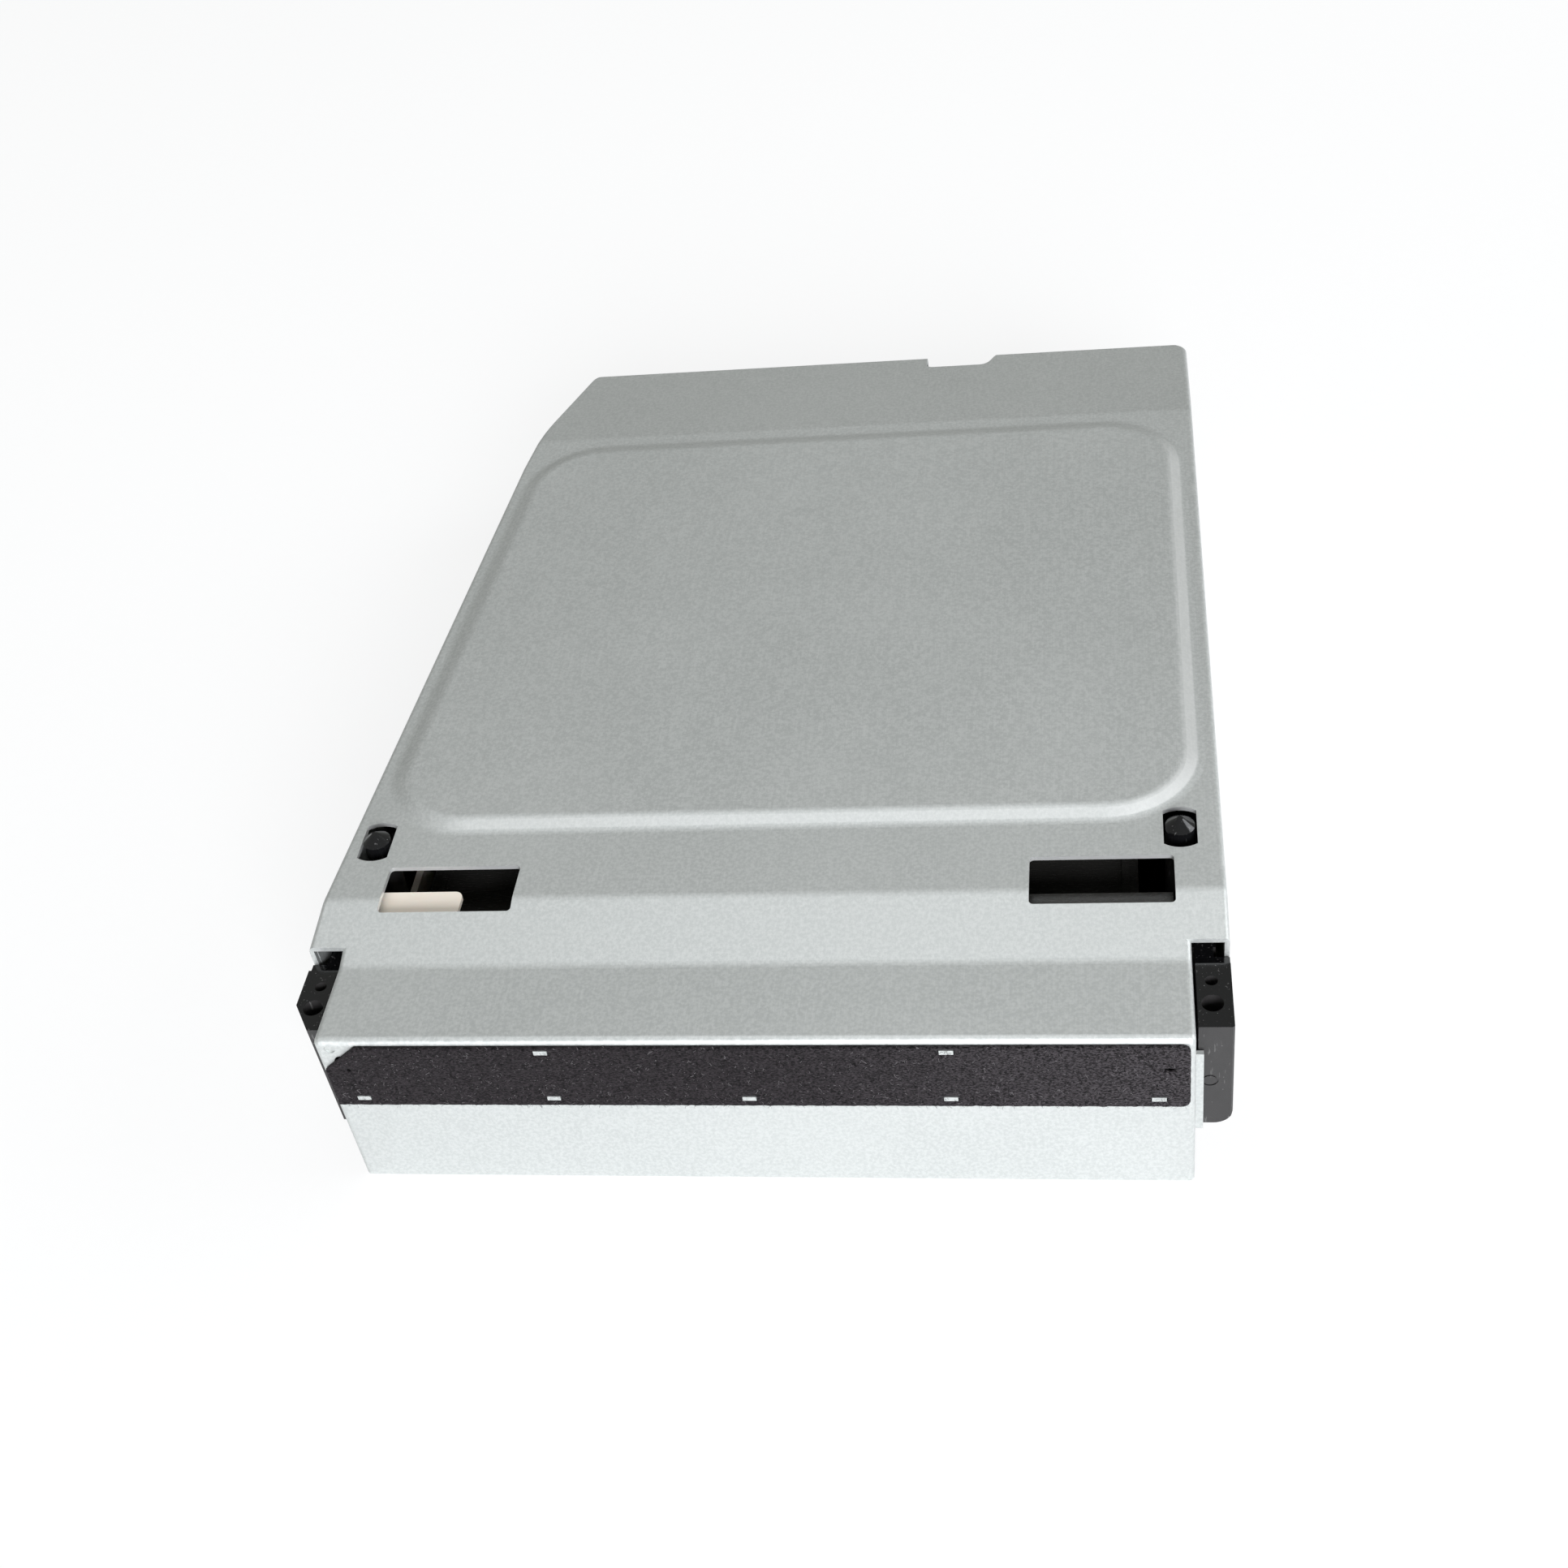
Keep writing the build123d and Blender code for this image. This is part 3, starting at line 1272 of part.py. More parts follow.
with BuildPart() as screw_follower:
    with BuildSketch(Plane.XY.offset(screw_height + screw_radius + 0.1)):
        with Locations(((sled_half_width + screw_x + 2) / 2, at(sled_rear - 5))):
            Rectangle(screw_x + 2 - sled_half_width, 8)
    extrude(amount=1.2)
    with BuildSketch(Plane.XY.offset(screw_height + screw_radius + 0.1)):
        with Locations((screw_x + 1.9, at(sled_rear - 5))):
            Rectangle(0.8, 8)
    extrude(amount=-3.0)
    with BuildSketch(Plane.XY.offset(sled_bottom + 6.4)):
        with Locations((sled_half_width - 1.5, at(sled_rear - 5))):
            Rectangle(5, 8)
    extrude(amount=0.8)
    with BuildSketch(Plane.XY.offset(screw_height + screw_radius + 0.1)):
        with Locations((sled_half_width + 0.6, at(sled_rear - 5))):
            Rectangle(0.8, 8)
    extrude(amount=sled_bottom + 7.2 - screw_height - screw_radius - 0.1)
save(screw_follower, "screw_follower")


# Clamp arm: steel plate over the disc, hinged at the rear and lifted at its left foot
with BuildPart() as clamp_arm:
    with BuildSketch(Plane.XY.offset(arm_plane)) as arm_plan:
        with Locations((0, at(spindle_depth))):
            Circle(clamper_radius + 3)
        with Locations((0, at(deck_hinge_depth - 3))):
            Rectangle(2 * arm_half_width, 12)
        make_hull()
        with Locations((0, at(spindle_depth))):
            Circle(clamper_neck + 0.6, mode=Mode.SUBTRACT)
        with BuildLine():
            Polyline(
                (-12, at(spindle_depth + 29)),
                (12, at(spindle_depth + 29)),
                (24, at(deck_hinge_depth - 18)),
                (-24, at(deck_hinge_depth - 18)),
                close=True,
            )
        make_face(mode=Mode.SUBTRACT)
        with BuildLine():
            Polyline(
                (-12, at(spindle_depth - 3)),
                (-30, at(arm_foot_depth + 2.5)),
                (slider_x + slider_plate, at(arm_foot_depth + 1.5)),
                (slider_x + slider_plate, at(arm_foot_depth - 1.5)),
                (-30, at(arm_foot_depth - 2.5)),
                (-16, at(spindle_depth - 11)),
                close=True,
            )
        make_face()
        with Locations((0, at(spindle_depth))):
            Circle(clamper_neck + 0.6, mode=Mode.SUBTRACT)
    extrude(amount=arm_plate_thickness)
    with BuildSketch(Plane.XY.offset(arm_foot_height)):
        with Locations((slider_x + slider_plate / 2 + 0.2, at(arm_foot_depth))):
            Rectangle(slider_plate, 3)
    extrude(amount=arm_plane + arm_plate_thickness - arm_foot_height)
    # Side ears with the hinge pins
    for side in (-1, 1):
        with BuildSketch(side_plane(side * arm_half_width, deck_hinge_depth, 0)) as ear:
            with Locations((0, arm_hinge_height)):
                Circle(2.4)
            with Locations((-2, arm_plane + 0.5)):
                Rectangle(6, 1.0)
            make_hull()
        extrude(amount=-side * 0.8)
        with BuildSketch(side_plane(side * (arm_half_width - 0.4), deck_hinge_depth, arm_hinge_height)):
            Circle(1.2)
        extrude(amount=side * (column_x + column_width / 2 - arm_half_width + 0.4))
save(clamp_arm, "clamp_arm")

# Clamper: moulded disc hanging loose in the arm, with a ring magnet and a steel yoke
clamper_low = disc_plane + 1.7
with BuildPart() as clamper:
    with BuildSketch(Plane.XZ.offset(-at(spindle_depth))) as clamper_half:
        with BuildLine():
            Polyline(
                (boss_radius + 0.9, clamper_low),
                (clamper_radius, clamper_low),
                (clamper_radius, clamper_low + 1.0),
                (clamper_neck, clamper_low + 1.8),
                (clamper_neck, arm_plane + arm_plate_thickness + 0.2),
                (clamper_neck + 2.2, arm_plane + arm_plate_thickness + 0.2),
                (clamper_neck + 2.2, arm_plane + arm_plate_thickness + 0.8),
                (clamper_neck - 1.2, arm_plane + arm_plate_thickness + 0.8),
                (clamper_neck - 1.2, clamper_low + 1.6),
                (boss_radius + 0.9, clamper_low + 1.6),
                close=True,
            )
        make_face()
    revolve(axis=Axis((0, at(spindle_depth), 0), (0, 0, 1)))
save(clamper, "clamper")

with BuildPart() as clamp_magnet:
    with BuildSketch(Plane.XY.offset(clamper_low + 1.6)):
        with Locations((0, at(spindle_depth))):
            Circle(clamper_neck - 1.2 - running_fit)
            Circle(3.0, mode=Mode.SUBTRACT)
    extrude(amount=1.5)
save(clamp_magnet, "clamp_magnet")

with BuildPart() as clamp_yoke:
    with BuildSketch(Plane.XY.offset(clamper_low + 3.1)):
        with Locations((0, at(spindle_depth))):
            Circle(clamper_neck - 1.2 - running_fit)
    extrude(amount=0.8)
save(clamp_yoke, "clamp_yoke")


# Disc levers: one each side, pushed apart by the edge of the disc and sprung back together
def disc_lever(side):
    reach = radians(lever_rest_angle)
    tip = (
        side * (lever_pivot_x - lever_length * sin(reach)),
        at(lever_pivot_depth - lever_length * cos(reach)),
    )
    with BuildPart() as lever:
        with BuildSketch(Plane.XY.offset(lever_plane)) as blade:
            with Locations((side * lever_pivot_x, at(lever_pivot_depth))):
                Circle(2.8)
            with Locations(tip):
                Circle(lever_pin_radius)
            make_hull()
            with Locations((side * lever_pivot_x, at(lever_pivot_depth))):
                Circle(lever_post_radius + running_fit, mode=Mode.SUBTRACT)
        extrude(amount=lever_thickness)
        with BuildSketch(Plane.XY.offset(lever_plane)):
            with Locations(tip):
                Circle(lever_pin_radius)
        extrude(amount=-4.4)
    return lever


left_lever = disc_lever(-1)
save(left_lever, "left_lever")
right_lever = disc_lever(1)
save(right_lever, "right_lever")


# Control board, its chips, the flat-cable connector at the rear and its screws
board_top = board_low + board_thickness
with BuildPart() as control_board:
    with BuildSketch(Plane.XY.offset(board_low)):
        with Locations(
            ((board_left + board_right) / 2, at((board_front + board_rear) / 2)),
        ):
            RectangleRounded(board_right - board_left, board_rear - board_front, 1.0)
        with Locations((rear_notch_x + rear_notch_width / 2, at(board_rear + 2))):
            Rectangle(rear_notch_width + 4, 6)
        with Locations(*[(x, at(depth)) for x, depth in board_screw_places]):
            Circle(1.2, mode=Mode.SUBTRACT)
    extrude(amount=board_thickness)
save(control_board, "control_board")

with BuildPart() as board_chips:
    with BuildSketch(Plane.XY.offset(board_top)):
        with Locations((board_left + 28, at(board_rear - 14))):
            Rectangle(18, 12)
        with Locations(
            (board_left + 50, at(board_rear - 26)), (board_left + 26, at(board_rear - 30))
        ):
            Rectangle(9, 7)
        with Locations((board_left + 66, at(board_rear - 14))):
            Rectangle(6, 8)
    extrude(amount=1.1)
save(board_chips, "board_chips")

with BuildPart() as cable_connector:
    connector_x = rear_notch_x + rear_notch_width / 2
    with BuildSketch(Plane.XY.offset(board_top)):
        with Locations((connector_x, at(board_rear + 1.5))):
            Rectangle(rear_notch_width + 1, 5.6)
    extrude(amount=3.4)
    with BuildSketch(front_plane(board_rear + 5)):
        with Locations((connector_x, board_top + 1.7)):
            Rectangle(rear_notch_width - 1.4, 1.0)
    extrude(amount=5.0, mode=Mode.SUBTRACT)
save(cable_connector, "cable_connector")

with BuildPart() as board_screws:
    with BuildSketch(Plane.XY.offset(board_top)):
        with Locations(*[(x, at(depth)) for x, depth in board_screw_places]):
            Circle(2.0)
    extrude(amount=1.0)
    with BuildSketch(Plane.XY.offset(board_top)):
        with Locations(*[(x, at(depth)) for x, depth in board_screw_places]):
            Circle(0.9)
    extrude(amount=-4.0)
    with BuildSketch(Plane.XY.offset(board_top + 0.5)):
        with Locations(*[(x, at(depth)) for x, depth in board_screw_places]):
            Rectangle(2.2, 0.5)
            Rectangle(0.5, 2.2)
    extrude(amount=0.6, mode=Mode.SUBTRACT)
save(board_screws, "board_screws")
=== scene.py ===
import random
from math import radians

import bmesh
import bpy
from mathutils import Matrix, Vector


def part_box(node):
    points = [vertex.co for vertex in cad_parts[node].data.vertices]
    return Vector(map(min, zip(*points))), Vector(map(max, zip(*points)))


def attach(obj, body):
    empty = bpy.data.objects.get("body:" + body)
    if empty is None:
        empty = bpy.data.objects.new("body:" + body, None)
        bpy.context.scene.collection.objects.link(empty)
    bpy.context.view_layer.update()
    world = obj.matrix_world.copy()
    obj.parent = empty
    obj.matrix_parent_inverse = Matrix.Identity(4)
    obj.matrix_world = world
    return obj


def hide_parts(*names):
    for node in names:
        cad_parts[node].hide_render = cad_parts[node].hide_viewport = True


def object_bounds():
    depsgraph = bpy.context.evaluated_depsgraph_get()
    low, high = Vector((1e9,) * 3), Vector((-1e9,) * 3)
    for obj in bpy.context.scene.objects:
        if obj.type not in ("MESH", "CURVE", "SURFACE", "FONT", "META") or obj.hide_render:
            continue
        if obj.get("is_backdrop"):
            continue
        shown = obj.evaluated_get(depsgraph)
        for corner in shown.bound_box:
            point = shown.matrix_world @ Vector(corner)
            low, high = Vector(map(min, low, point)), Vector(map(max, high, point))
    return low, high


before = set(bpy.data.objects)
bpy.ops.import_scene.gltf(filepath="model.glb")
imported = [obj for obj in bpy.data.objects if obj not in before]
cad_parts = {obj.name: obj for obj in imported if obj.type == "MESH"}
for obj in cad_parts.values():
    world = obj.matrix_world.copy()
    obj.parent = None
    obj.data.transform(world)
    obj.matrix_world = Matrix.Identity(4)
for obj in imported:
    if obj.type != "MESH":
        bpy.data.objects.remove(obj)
low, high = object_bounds()


# Steel case: top cover and bottom tray are pressed from zinc-plated sheet 0.8 mm thick. It has a fine
# speckle and a faint grain. Its sheared edges are painted bright, partly as bare cut steel and partly
# as a painted highlight, and a highlight is painted on the front and right sides of the raised panel's
# rim.
# Field writes this finish, and every later one, as arithmetic on its pattern.
class Field:
    """One socket of a material, so that a pattern can be written as arithmetic."""

    def __init__(self, tree, socket):
        self.tree = tree
        self.socket = socket

    @classmethod
    def surface(cls, name, *nodes):
        """A new material on the named pieces of the frame: its shader, and its place in millimetres."""
        made = bpy.data.materials.new(name)
        made.use_nodes = True
        tree = made.node_tree
        for node in nodes:
            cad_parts[node].material_slots[0].material = made
        place = cls(tree, tree.nodes.new("ShaderNodeTexCoord").outputs["Object"]) * 1000
        return tree.nodes["Principled BSDF"], place

    def feed(self, socket, value):
        """Link a field to a socket, or set the socket to a plain value."""
        if isinstance(value, Field):
            self.tree.links.new(value.socket, socket)
        elif isinstance(value, tuple) and socket.type == "RGBA":
            socket.default_value = (*value, 1)
        elif socket.type == "VECTOR" and not isinstance(value, tuple):
            socket.default_value = (value, value, value)
        else:
            socket.default_value = value

    def node(self, kind, settings, values, out=0):
        """A new node: its settings first, then the values or links of its sockets."""
        made = self.tree.nodes.new("ShaderNode" + kind)
        for name, value in settings.items():
            setattr(made, name, value)
        for name, value in values.items():
            self.feed(made.inputs[name], value)
        return Field(self.tree, made.outputs[out])

    def combine(self, operation, first, second):
        """Vector Math where either value is a colour or a vector, and Math where both are numbers."""
        wide = any(
            isinstance(value, tuple) or isinstance(value, Field) and value.socket.type != "VALUE"
            for value in (first, second)
        )
        kind = "VectorMath" if wide else "Math"
        return self.node(kind, {"operation": operation}, {0: first, 1: second})

    def __add__(self, other):
        return self.combine("ADD", self, other)

    def __radd__(self, other):
        return self.combine("ADD", other, self)

    def __sub__(self, other):
        return self.combine("SUBTRACT", self, other)

    def __rsub__(self, other):
        return self.combine("SUBTRACT", other, self)

    def __mul__(self, other):
        return self.combine("MULTIPLY", self, other)

    def __rmul__(self, other):
        return self.combine("MULTIPLY", other, self)

    def axis(self, letter):
        return self.node("SeparateXYZ", {}, {0: self}, "XYZ".index(letter))

    def facing(self):
        """The direction that the surface faces."""
        return self.node("TexCoord", {}, {}, 1)

    def noise(self, scale, detail=2.0, roughness=0.5):
        """Noise from 0 to 1, its scale in patches per millimetre."""
        values = {"Vector": self, "Scale": scale, "Detail": detail, "Roughness": roughness}
        return self.node("TexNoise", {}, values)

    def cells(self, scale, feature="F1"):
        """Distance in a pattern of cells, its scale in cells per millimetre."""
        return self.node("TexVoronoi", {"feature": feature}, {"Vector": self, "Scale": scale})

    def ramp(self, low, high, start=0.0, end=1.0):
        """Start below the low value, end above the high one, and a smooth step between."""
        values = {"Value": self, "From Min": low, "From Max": high, "To Min": start, "To Max": end}
        return self.node("MapRange", {"interpolation_type": "SMOOTHSTEP"}, values)

    def mix(self, first, second):
        """A blend of two colours, this field being the share of the second."""
        return self.node("Mix", {"data_type": "RGBA"}, {0: self, 6: first, 7: second}, 2)

    def paint(self, shader, color, rough, metal=0.0, **constants):
        """Colour, roughness and metal of a shader, and the constants of its other sockets."""
        self.feed(shader.inputs["Base Color"], color)
        self.feed(shader.inputs["Roughness"], rough)
        self.feed(shader.inputs["Metallic"], metal)
        for name, value in constants.items():
            shader.inputs[name.replace("_", " ")].default_value = value

    def relief(self, shader, height, distance=0.0001):
        """Bumps from a field that runs from 0 to 1, over a distance in metres."""
        bump = self.node("Bump", {}, {"Height": self, "Strength": height, "Distance": distance})
        self.feed(shader.inputs["Normal"], bump)


lid_top = 37.4
sheet_thickness = 0.8
lid_underside = lid_top - sheet_thickness
shader, place = Field.surface("sheet_steel", "top_cover", "bottom_cover")
speckle = place.noise(1.6, 4.0, 0.7).ramp(0.38, 0.62)
grain = (place * (5.0, 0.05, 5.0)).noise(1.0, 3.0)
smudge = place.noise(0.018, 3.0, 0.6)
facing = place.facing()
height = place.axis("Z")
above_underside = height.ramp(lid_underside - 0.1, lid_underside)
below_top = height.ramp(lid_top + 0.05, lid_top + 0.1, 1.0, 0.0)
upright = (facing.axis("Z") * facing.axis("Z")).ramp(0.04, 0.25, 1.0, 0.0)
# The upright cut edges are painted bright: partly bare cut steel, partly a painted highlight.
sheared = above_underside * below_top * upright
rim = height.ramp(lid_top + 0.1, lid_top + 0.3)
# Painted highlight: the raised rim is painted pale steel where it faces the right and the front.
painted_rim_highlight = rim * (facing.axis("X") * 1.6 - facing.axis("Y")).ramp(0.05, 0.9)
tone = speckle.mix((0.49, 0.505, 0.495), (0.58, 0.592, 0.58))
tone = grain.ramp(0.35, 0.65, 0.0, 0.25).mix(tone, (0.45, 0.464, 0.457))
tone = smudge.ramp(0.35, 0.7, 0.0, 0.12).mix(tone, (0.62, 0.626, 0.61))
# Pale steel is painted on the sheared edges, partly as a highlight, and on the rim as a painted
# highlight.
tone = (sheared * 0.8 + painted_rim_highlight * 0.8).mix(tone, (0.85, 0.85, 0.84))
rough = smudge.ramp(0.3, 0.7, 0.43, 0.47) + speckle * 0.05 - sheared * 0.15
place.paint(shader, tone, rough, 0.72)
(speckle * 0.5 + grain * 0.5).relief(shader, 0.12, 0.00004)

# Moulded frame: black glass-filled plastic with a fine spark-eroded grain on its upright faces. The
# tops of the two ears and the tips of the locating posts are glossy, with a few specks and scratches.
post_gloss_from = 33.0
shader, place = Field.surface("frame_moulding", "chassis_frame")
grain = place.noise(6.0, 3.0, 0.6)
flow = (place * (0.3, 0.08, 0.3)).noise(1.0, 3.0)
tops = place.facing().axis("Z").ramp(0.6, 0.85)
posts = place.axis("Z").ramp(post_gloss_from, post_gloss_from + 0.5)
polished = (tops + posts).ramp(0.0, 1.0)
specks = place.cells(0.8).ramp(0.04, 0.08, 1.0, 0.0)
scratches = (place * (0.9, 0.9, 0.12)).noise(2.0, 2.0, 0.6).ramp(0.66, 0.70)
tone = flow.mix((0.013, 0.0122, 0.012), (0.026, 0.024, 0.024))
tone = polished.mix(tone, (0.004, 0.004, 0.0045))
tone = (specks * 0.6 + scratches * 0.25).mix(tone, (0.22, 0.215, 0.21))
place.paint(shader, tone, grain.ramp(0.3, 0.7, 0.36, 0.5) * (1.0 - polished * 0.68))
(grain * (1.0 - polished * 0.8)).relief(shader, 0.35, 0.00003)

# Felt dust seal: black needle felt 0.8 mm thick, stuck over the disc slot and slit along the middle.
# Its face is slightly lumpy, and painted light makes its fibres paler towards the right. The drawn strip
# is remeshed to soften its edges, and the slit closes.
case_side = high[0] * 1000
shader, place = Field.surface("dust_felt", "felt_strip")
fibres = (place * (1.0, 1.0, 2.0)).noise(2.2, 5.0, 0.75)
clumps = place.noise(0.9, 3.0, 0.6)
# Painted light: the fibres are painted paler towards the right, as if lit more from that side.
painted_light_right = place.axis("X").ramp(-10.0, case_side, 0.0, 0.8) * fibres.ramp(0.44, 0.58)
tone = fibres.ramp(0.42, 0.6).mix((0.0008, 0.0007, 0.0008), (0.026, 0.0215, 0.024))
tone = clumps.ramp(0.35, 0.7, 0.0, 0.25).mix(tone, (0.026, 0.022, 0.024))
tone = painted_light_right.mix(tone, (0.055, 0.049, 0.053))
place.paint(
    shader, tone, fibres.ramp(0.2, 0.8, 0.85, 1.0),
    Specular_IOR_Level=0.07, Sheen_Weight=0.03, Sheen_Roughness=0.5,
)
(fibres * 0.7 + clumps * 0.3).relief(shader, 0.8, 0.0003)
felt_low, felt_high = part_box("felt_strip")
face_depth = 0.0004
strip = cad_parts["felt_strip"]
felt = strip.material_slots[0].material
seal = bpy.data.objects.new("felt_seal", strip.data.copy())
bpy.context.scene.collection.objects.link(seal)
bpy.ops.object.select_all(action="DESELECT")
seal.select_set(True)
bpy.context.view_layer.objects.active = seal
bpy.ops.object.mode_set(mode="EDIT")
bpy.ops.mesh.select_all(action="SELECT")
bpy.ops.mesh.remove_doubles(threshold=0.000001)
bpy.ops.object.mode_set(mode="OBJECT")
soften = seal.modifiers.new("soften", "REMESH")
soften.mode = "VOXEL"
soften.voxel_size = 0.00025
bpy.ops.object.modifier_apply(modifier=soften.name)
face = seal.vertex_groups.new(name="face")
face.add([v.index for v in seal.data.vertices if v.co.y < felt_low[1] + face_depth], 1.0, "REPLACE")
cloud = bpy.data.textures.new("felt_lumps", "CLOUDS")
cloud.noise_scale = 0.0008
lumps = seal.modifiers.new("lumps", "DISPLACE")
lumps.texture = cloud
lumps.texture_coords = "LOCAL"
lumps.strength = 0.00018
lumps.vertex_group = face.name
bpy.ops.object.modifier_apply(modifier=lumps.name)
bpy.ops.object.shade_smooth()
seal.data.materials.clear()
seal.data.materials.append(felt)
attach(seal, "chassis")
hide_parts("felt_strip")

# Nap of the felt: loose polyester fibres that lie on the face and stick out along the cut edges.
# Three bent strands are drawn once and scattered.
strand_length = 0.0009
strand_radius = 0.00002
shader, place = Field.surface("felt_fibres")
shade = place.noise(1.3, 2.0)
tone = shade.ramp(0.52, 0.62).mix((0.005, 0.0045, 0.005), (0.20, 0.187, 0.193))
place.paint(shader, tone, shade.ramp(0.3, 0.7, 0.6, 0.8), Specular_IOR_Level=0.15)
strands = []
for bow in (0.0001, 0.0002, 0.00032):
    bpy.ops.curve.primitive_bezier_curve_add()
    drawn = bpy.context.object
    drawn.data.bevel_depth = strand_radius
    drawn.data.bevel_resolution = 0
    drawn.data.resolution_u = 3
    drawn.data.use_fill_caps = True
    root, tip = drawn.data.splines[0].bezier_points
    for knot, along in ((root, 0.0), (tip, strand_length)):
        knot.handle_left_type = knot.handle_right_type = "FREE"
        knot.co = (along, 0, 0)
        knot.handle_left = (along - strand_length / 3, -bow, 0)
        knot.handle_right = (along + strand_length / 3, bow, 0)
    bpy.ops.object.convert(target="MESH")
    strands.append(drawn.data)
    bpy.data.objects.remove(drawn)

chance = random.Random(11)
gathered = bmesh.new()
stand_off = 0.00005


def lay_fibre(x, z, heading, lift):
    """One strand on the face of the felt, pointing along the heading and lifted off it."""
    strand = chance.choice(strands).copy()
    strand.transform(
        Matrix.Translation((x, felt_low[1] + stand_off, z))
        @ Matrix.Rotation(radians(heading), 4, "Y")
        @ Matrix.Rotation(-radians(lift), 4, "Z")
        @ Matrix.Rotation(radians(chance.uniform(0, 360)), 4, "X")
        @ Matrix.Scale(chance.uniform(0.45, 1.1), 4)
    )
    gathered.from_mesh(strand)
    bpy.data.meshes.remove(strand)


face_strands = 3600
lower_edge_strands = 260
upper_edge_strands = 160
corner_width = 0.006
corner_height = 0.0052
margin = 0.0004
for _ in range(face_strands):
    x = chance.uniform(felt_low[0] + margin, felt_high[0] - margin)
    z = chance.uniform(felt_low[2] + margin, felt_high[2] - margin)
    across = (x - felt_low[0]) / corner_width
    on_cut_corner = across < 1 and (felt_high[2] - z) / corner_height < 1 - across
    if not on_cut_corner:
        lay_fibre(x, z, chance.uniform(0, 360), chance.uniform(2, 22))
for _ in range(lower_edge_strands):
    x = chance.uniform(felt_low[0] + margin, felt_high[0] - margin)
    lay_fibre(x, felt_low[2] + margin, chance.uniform(10, 170), chance.uniform(-8, 20))
for _ in range(upper_edge_strands):
    x = chance.uniform(felt_low[0] + corner_width, felt_high[0] - margin)
    lay_fibre(x, felt_high[2] - margin / 2, -chance.uniform(25, 155), chance.uniform(0, 20))
nap_mesh = bpy.data.meshes.new("felt_nap")
gathered.to_mesh(nap_mesh)
gathered.free()
for strand in strands:
    bpy.data.meshes.remove(strand)
nap = bpy.data.objects.new("felt_nap", nap_mesh)
bpy.context.scene.collection.objects.link(nap)
nap_mesh.materials.append(bpy.data.materials["felt_fibres"])
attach(nap, "chassis")

# Disc guides, disc table and disc levers: smooth black mouldings that carry and steer the disc, with
# faint streaks of wear.
shader, place = Field.surface(
    "guide_moulding", "upper_disc_guide", "lower_disc_guide", "disc_table", "left_lever", "right_lever"
)
wear = (place * (0.5, 3.0, 0.5)).noise(1.0, 4.0, 0.7)
tone = wear.mix((0.030, 0.029, 0.027), (0.052, 0.050, 0.046))
place.paint(shader, tone, wear.ramp(0.3, 0.7, 0.16, 0.3))
wear.relief(shader, 0.1, 0.00003)

# Cream mouldings: the cam slider, gears, pulley, follower and the flat-cable connector are
# unpainted acetal with faint flow lines.
shader, place = Field.surface(
    "cream_moulding",
    "cam_slider", "drive_gear", "motor_pinion", "roller_pulley", "screw_follower", "cable_connector",
)
flow = (place * (0.12, 0.5, 0.12)).noise(1.0, 3.0)
fine = place.noise(4.0, 3.0)
tone = flow.mix((0.70, 0.62, 0.53), (0.77, 0.70, 0.62))
place.paint(shader, tone, fine.ramp(0.3, 0.7, 0.33, 0.45), Subsurface_Weight=0.1, Subsurface_Scale=0.001)
fine.relief(shader, 0.1, 0.00003)

# Stamped inner steelwork: deck plate, clamp arm, roller bracket, yoke, motor cans and screws are
# bright plated, with drawing marks and a few handling stains.
shader, place = Field.surface(
    "plated_steel",
    "deck_plate", "clamp_arm", "roller_bracket", "clamp_yoke", "tray_screws", "board_screws",
    "loading_motor", "spindle_motor", "feed_motor",
)
marks = (place * (0.25, 4.0, 4.0)).noise(1.0, 4.0, 0.7)
stain = place.noise(0.08, 4.0, 0.6)
tone = marks.ramp(0.3, 0.7).mix((0.47, 0.475, 0.47), (0.6, 0.6, 0.585))
tone = stain.ramp(0.5, 0.75, 0.0, 0.4).mix(tone, (0.40, 0.39, 0.36))
place.paint(shader, tone, stain.ramp(0.3, 0.7, 0.24, 0.36) + marks * 0.06, 0.95)
marks.relief(shader, 0.1, 0.00003)

# Turned steelwork: pins, guide rods, roller shaft and feed screw are ground bright, and a thin film
# of grease dulls them in places.
shader, place = Field.surface(
    "bright_steel", "drive_pin", "bracket_pin", "guide_rods", "lead_screw", "roller_shaft"
)
ground = (place * (6.0, 0.4, 6.0)).noise(1.0, 4.0, 0.7)
film = place.noise(0.25, 3.0)
tone = film.ramp(0.45, 0.7).mix((0.70, 0.70, 0.69), (0.55, 0.54, 0.48))
place.paint(shader, tone, ground.ramp(0.3, 0.7, 0.12, 0.24), 1.0)
ground.relief(shader, 0.08, 0.00002)

# Rubber: the feed roller's sleeves, the belt and the deck's grommets are black moulded rubber, with
# a little dust on it.
shader, place = Field.surface("black_rubber", "feed_rollers", "drive_belt", "deck_grommets")
dust = place.noise(2.2, 4.0, 0.7)
tone = dust.ramp(0.45, 0.8).mix((0.012, 0.012, 0.012), (0.05, 0.048, 0.045))
place.paint(shader, tone, dust.ramp(0.3, 0.7, 0.62, 0.8))
dust.relief(shader, 0.2, 0.00005)

# Pickup sled: a die-cast alloy carriage with a shot-blasted skin, which runs on the two guide rods
# and carries the optics.
shader, place = Field.surface("cast_alloy", "pickup_sled")
blast = place.noise(4.5, 3.0, 0.6)
flow = place.noise(0.15, 3.0)
tone = flow.mix((0.46, 0.46, 0.465), (0.60, 0.60, 0.60))
place.paint(shader, tone, blast.ramp(0.3, 0.7, 0.42, 0.6), 0.9)
blast.relief(shader, 0.3, 0.00005)

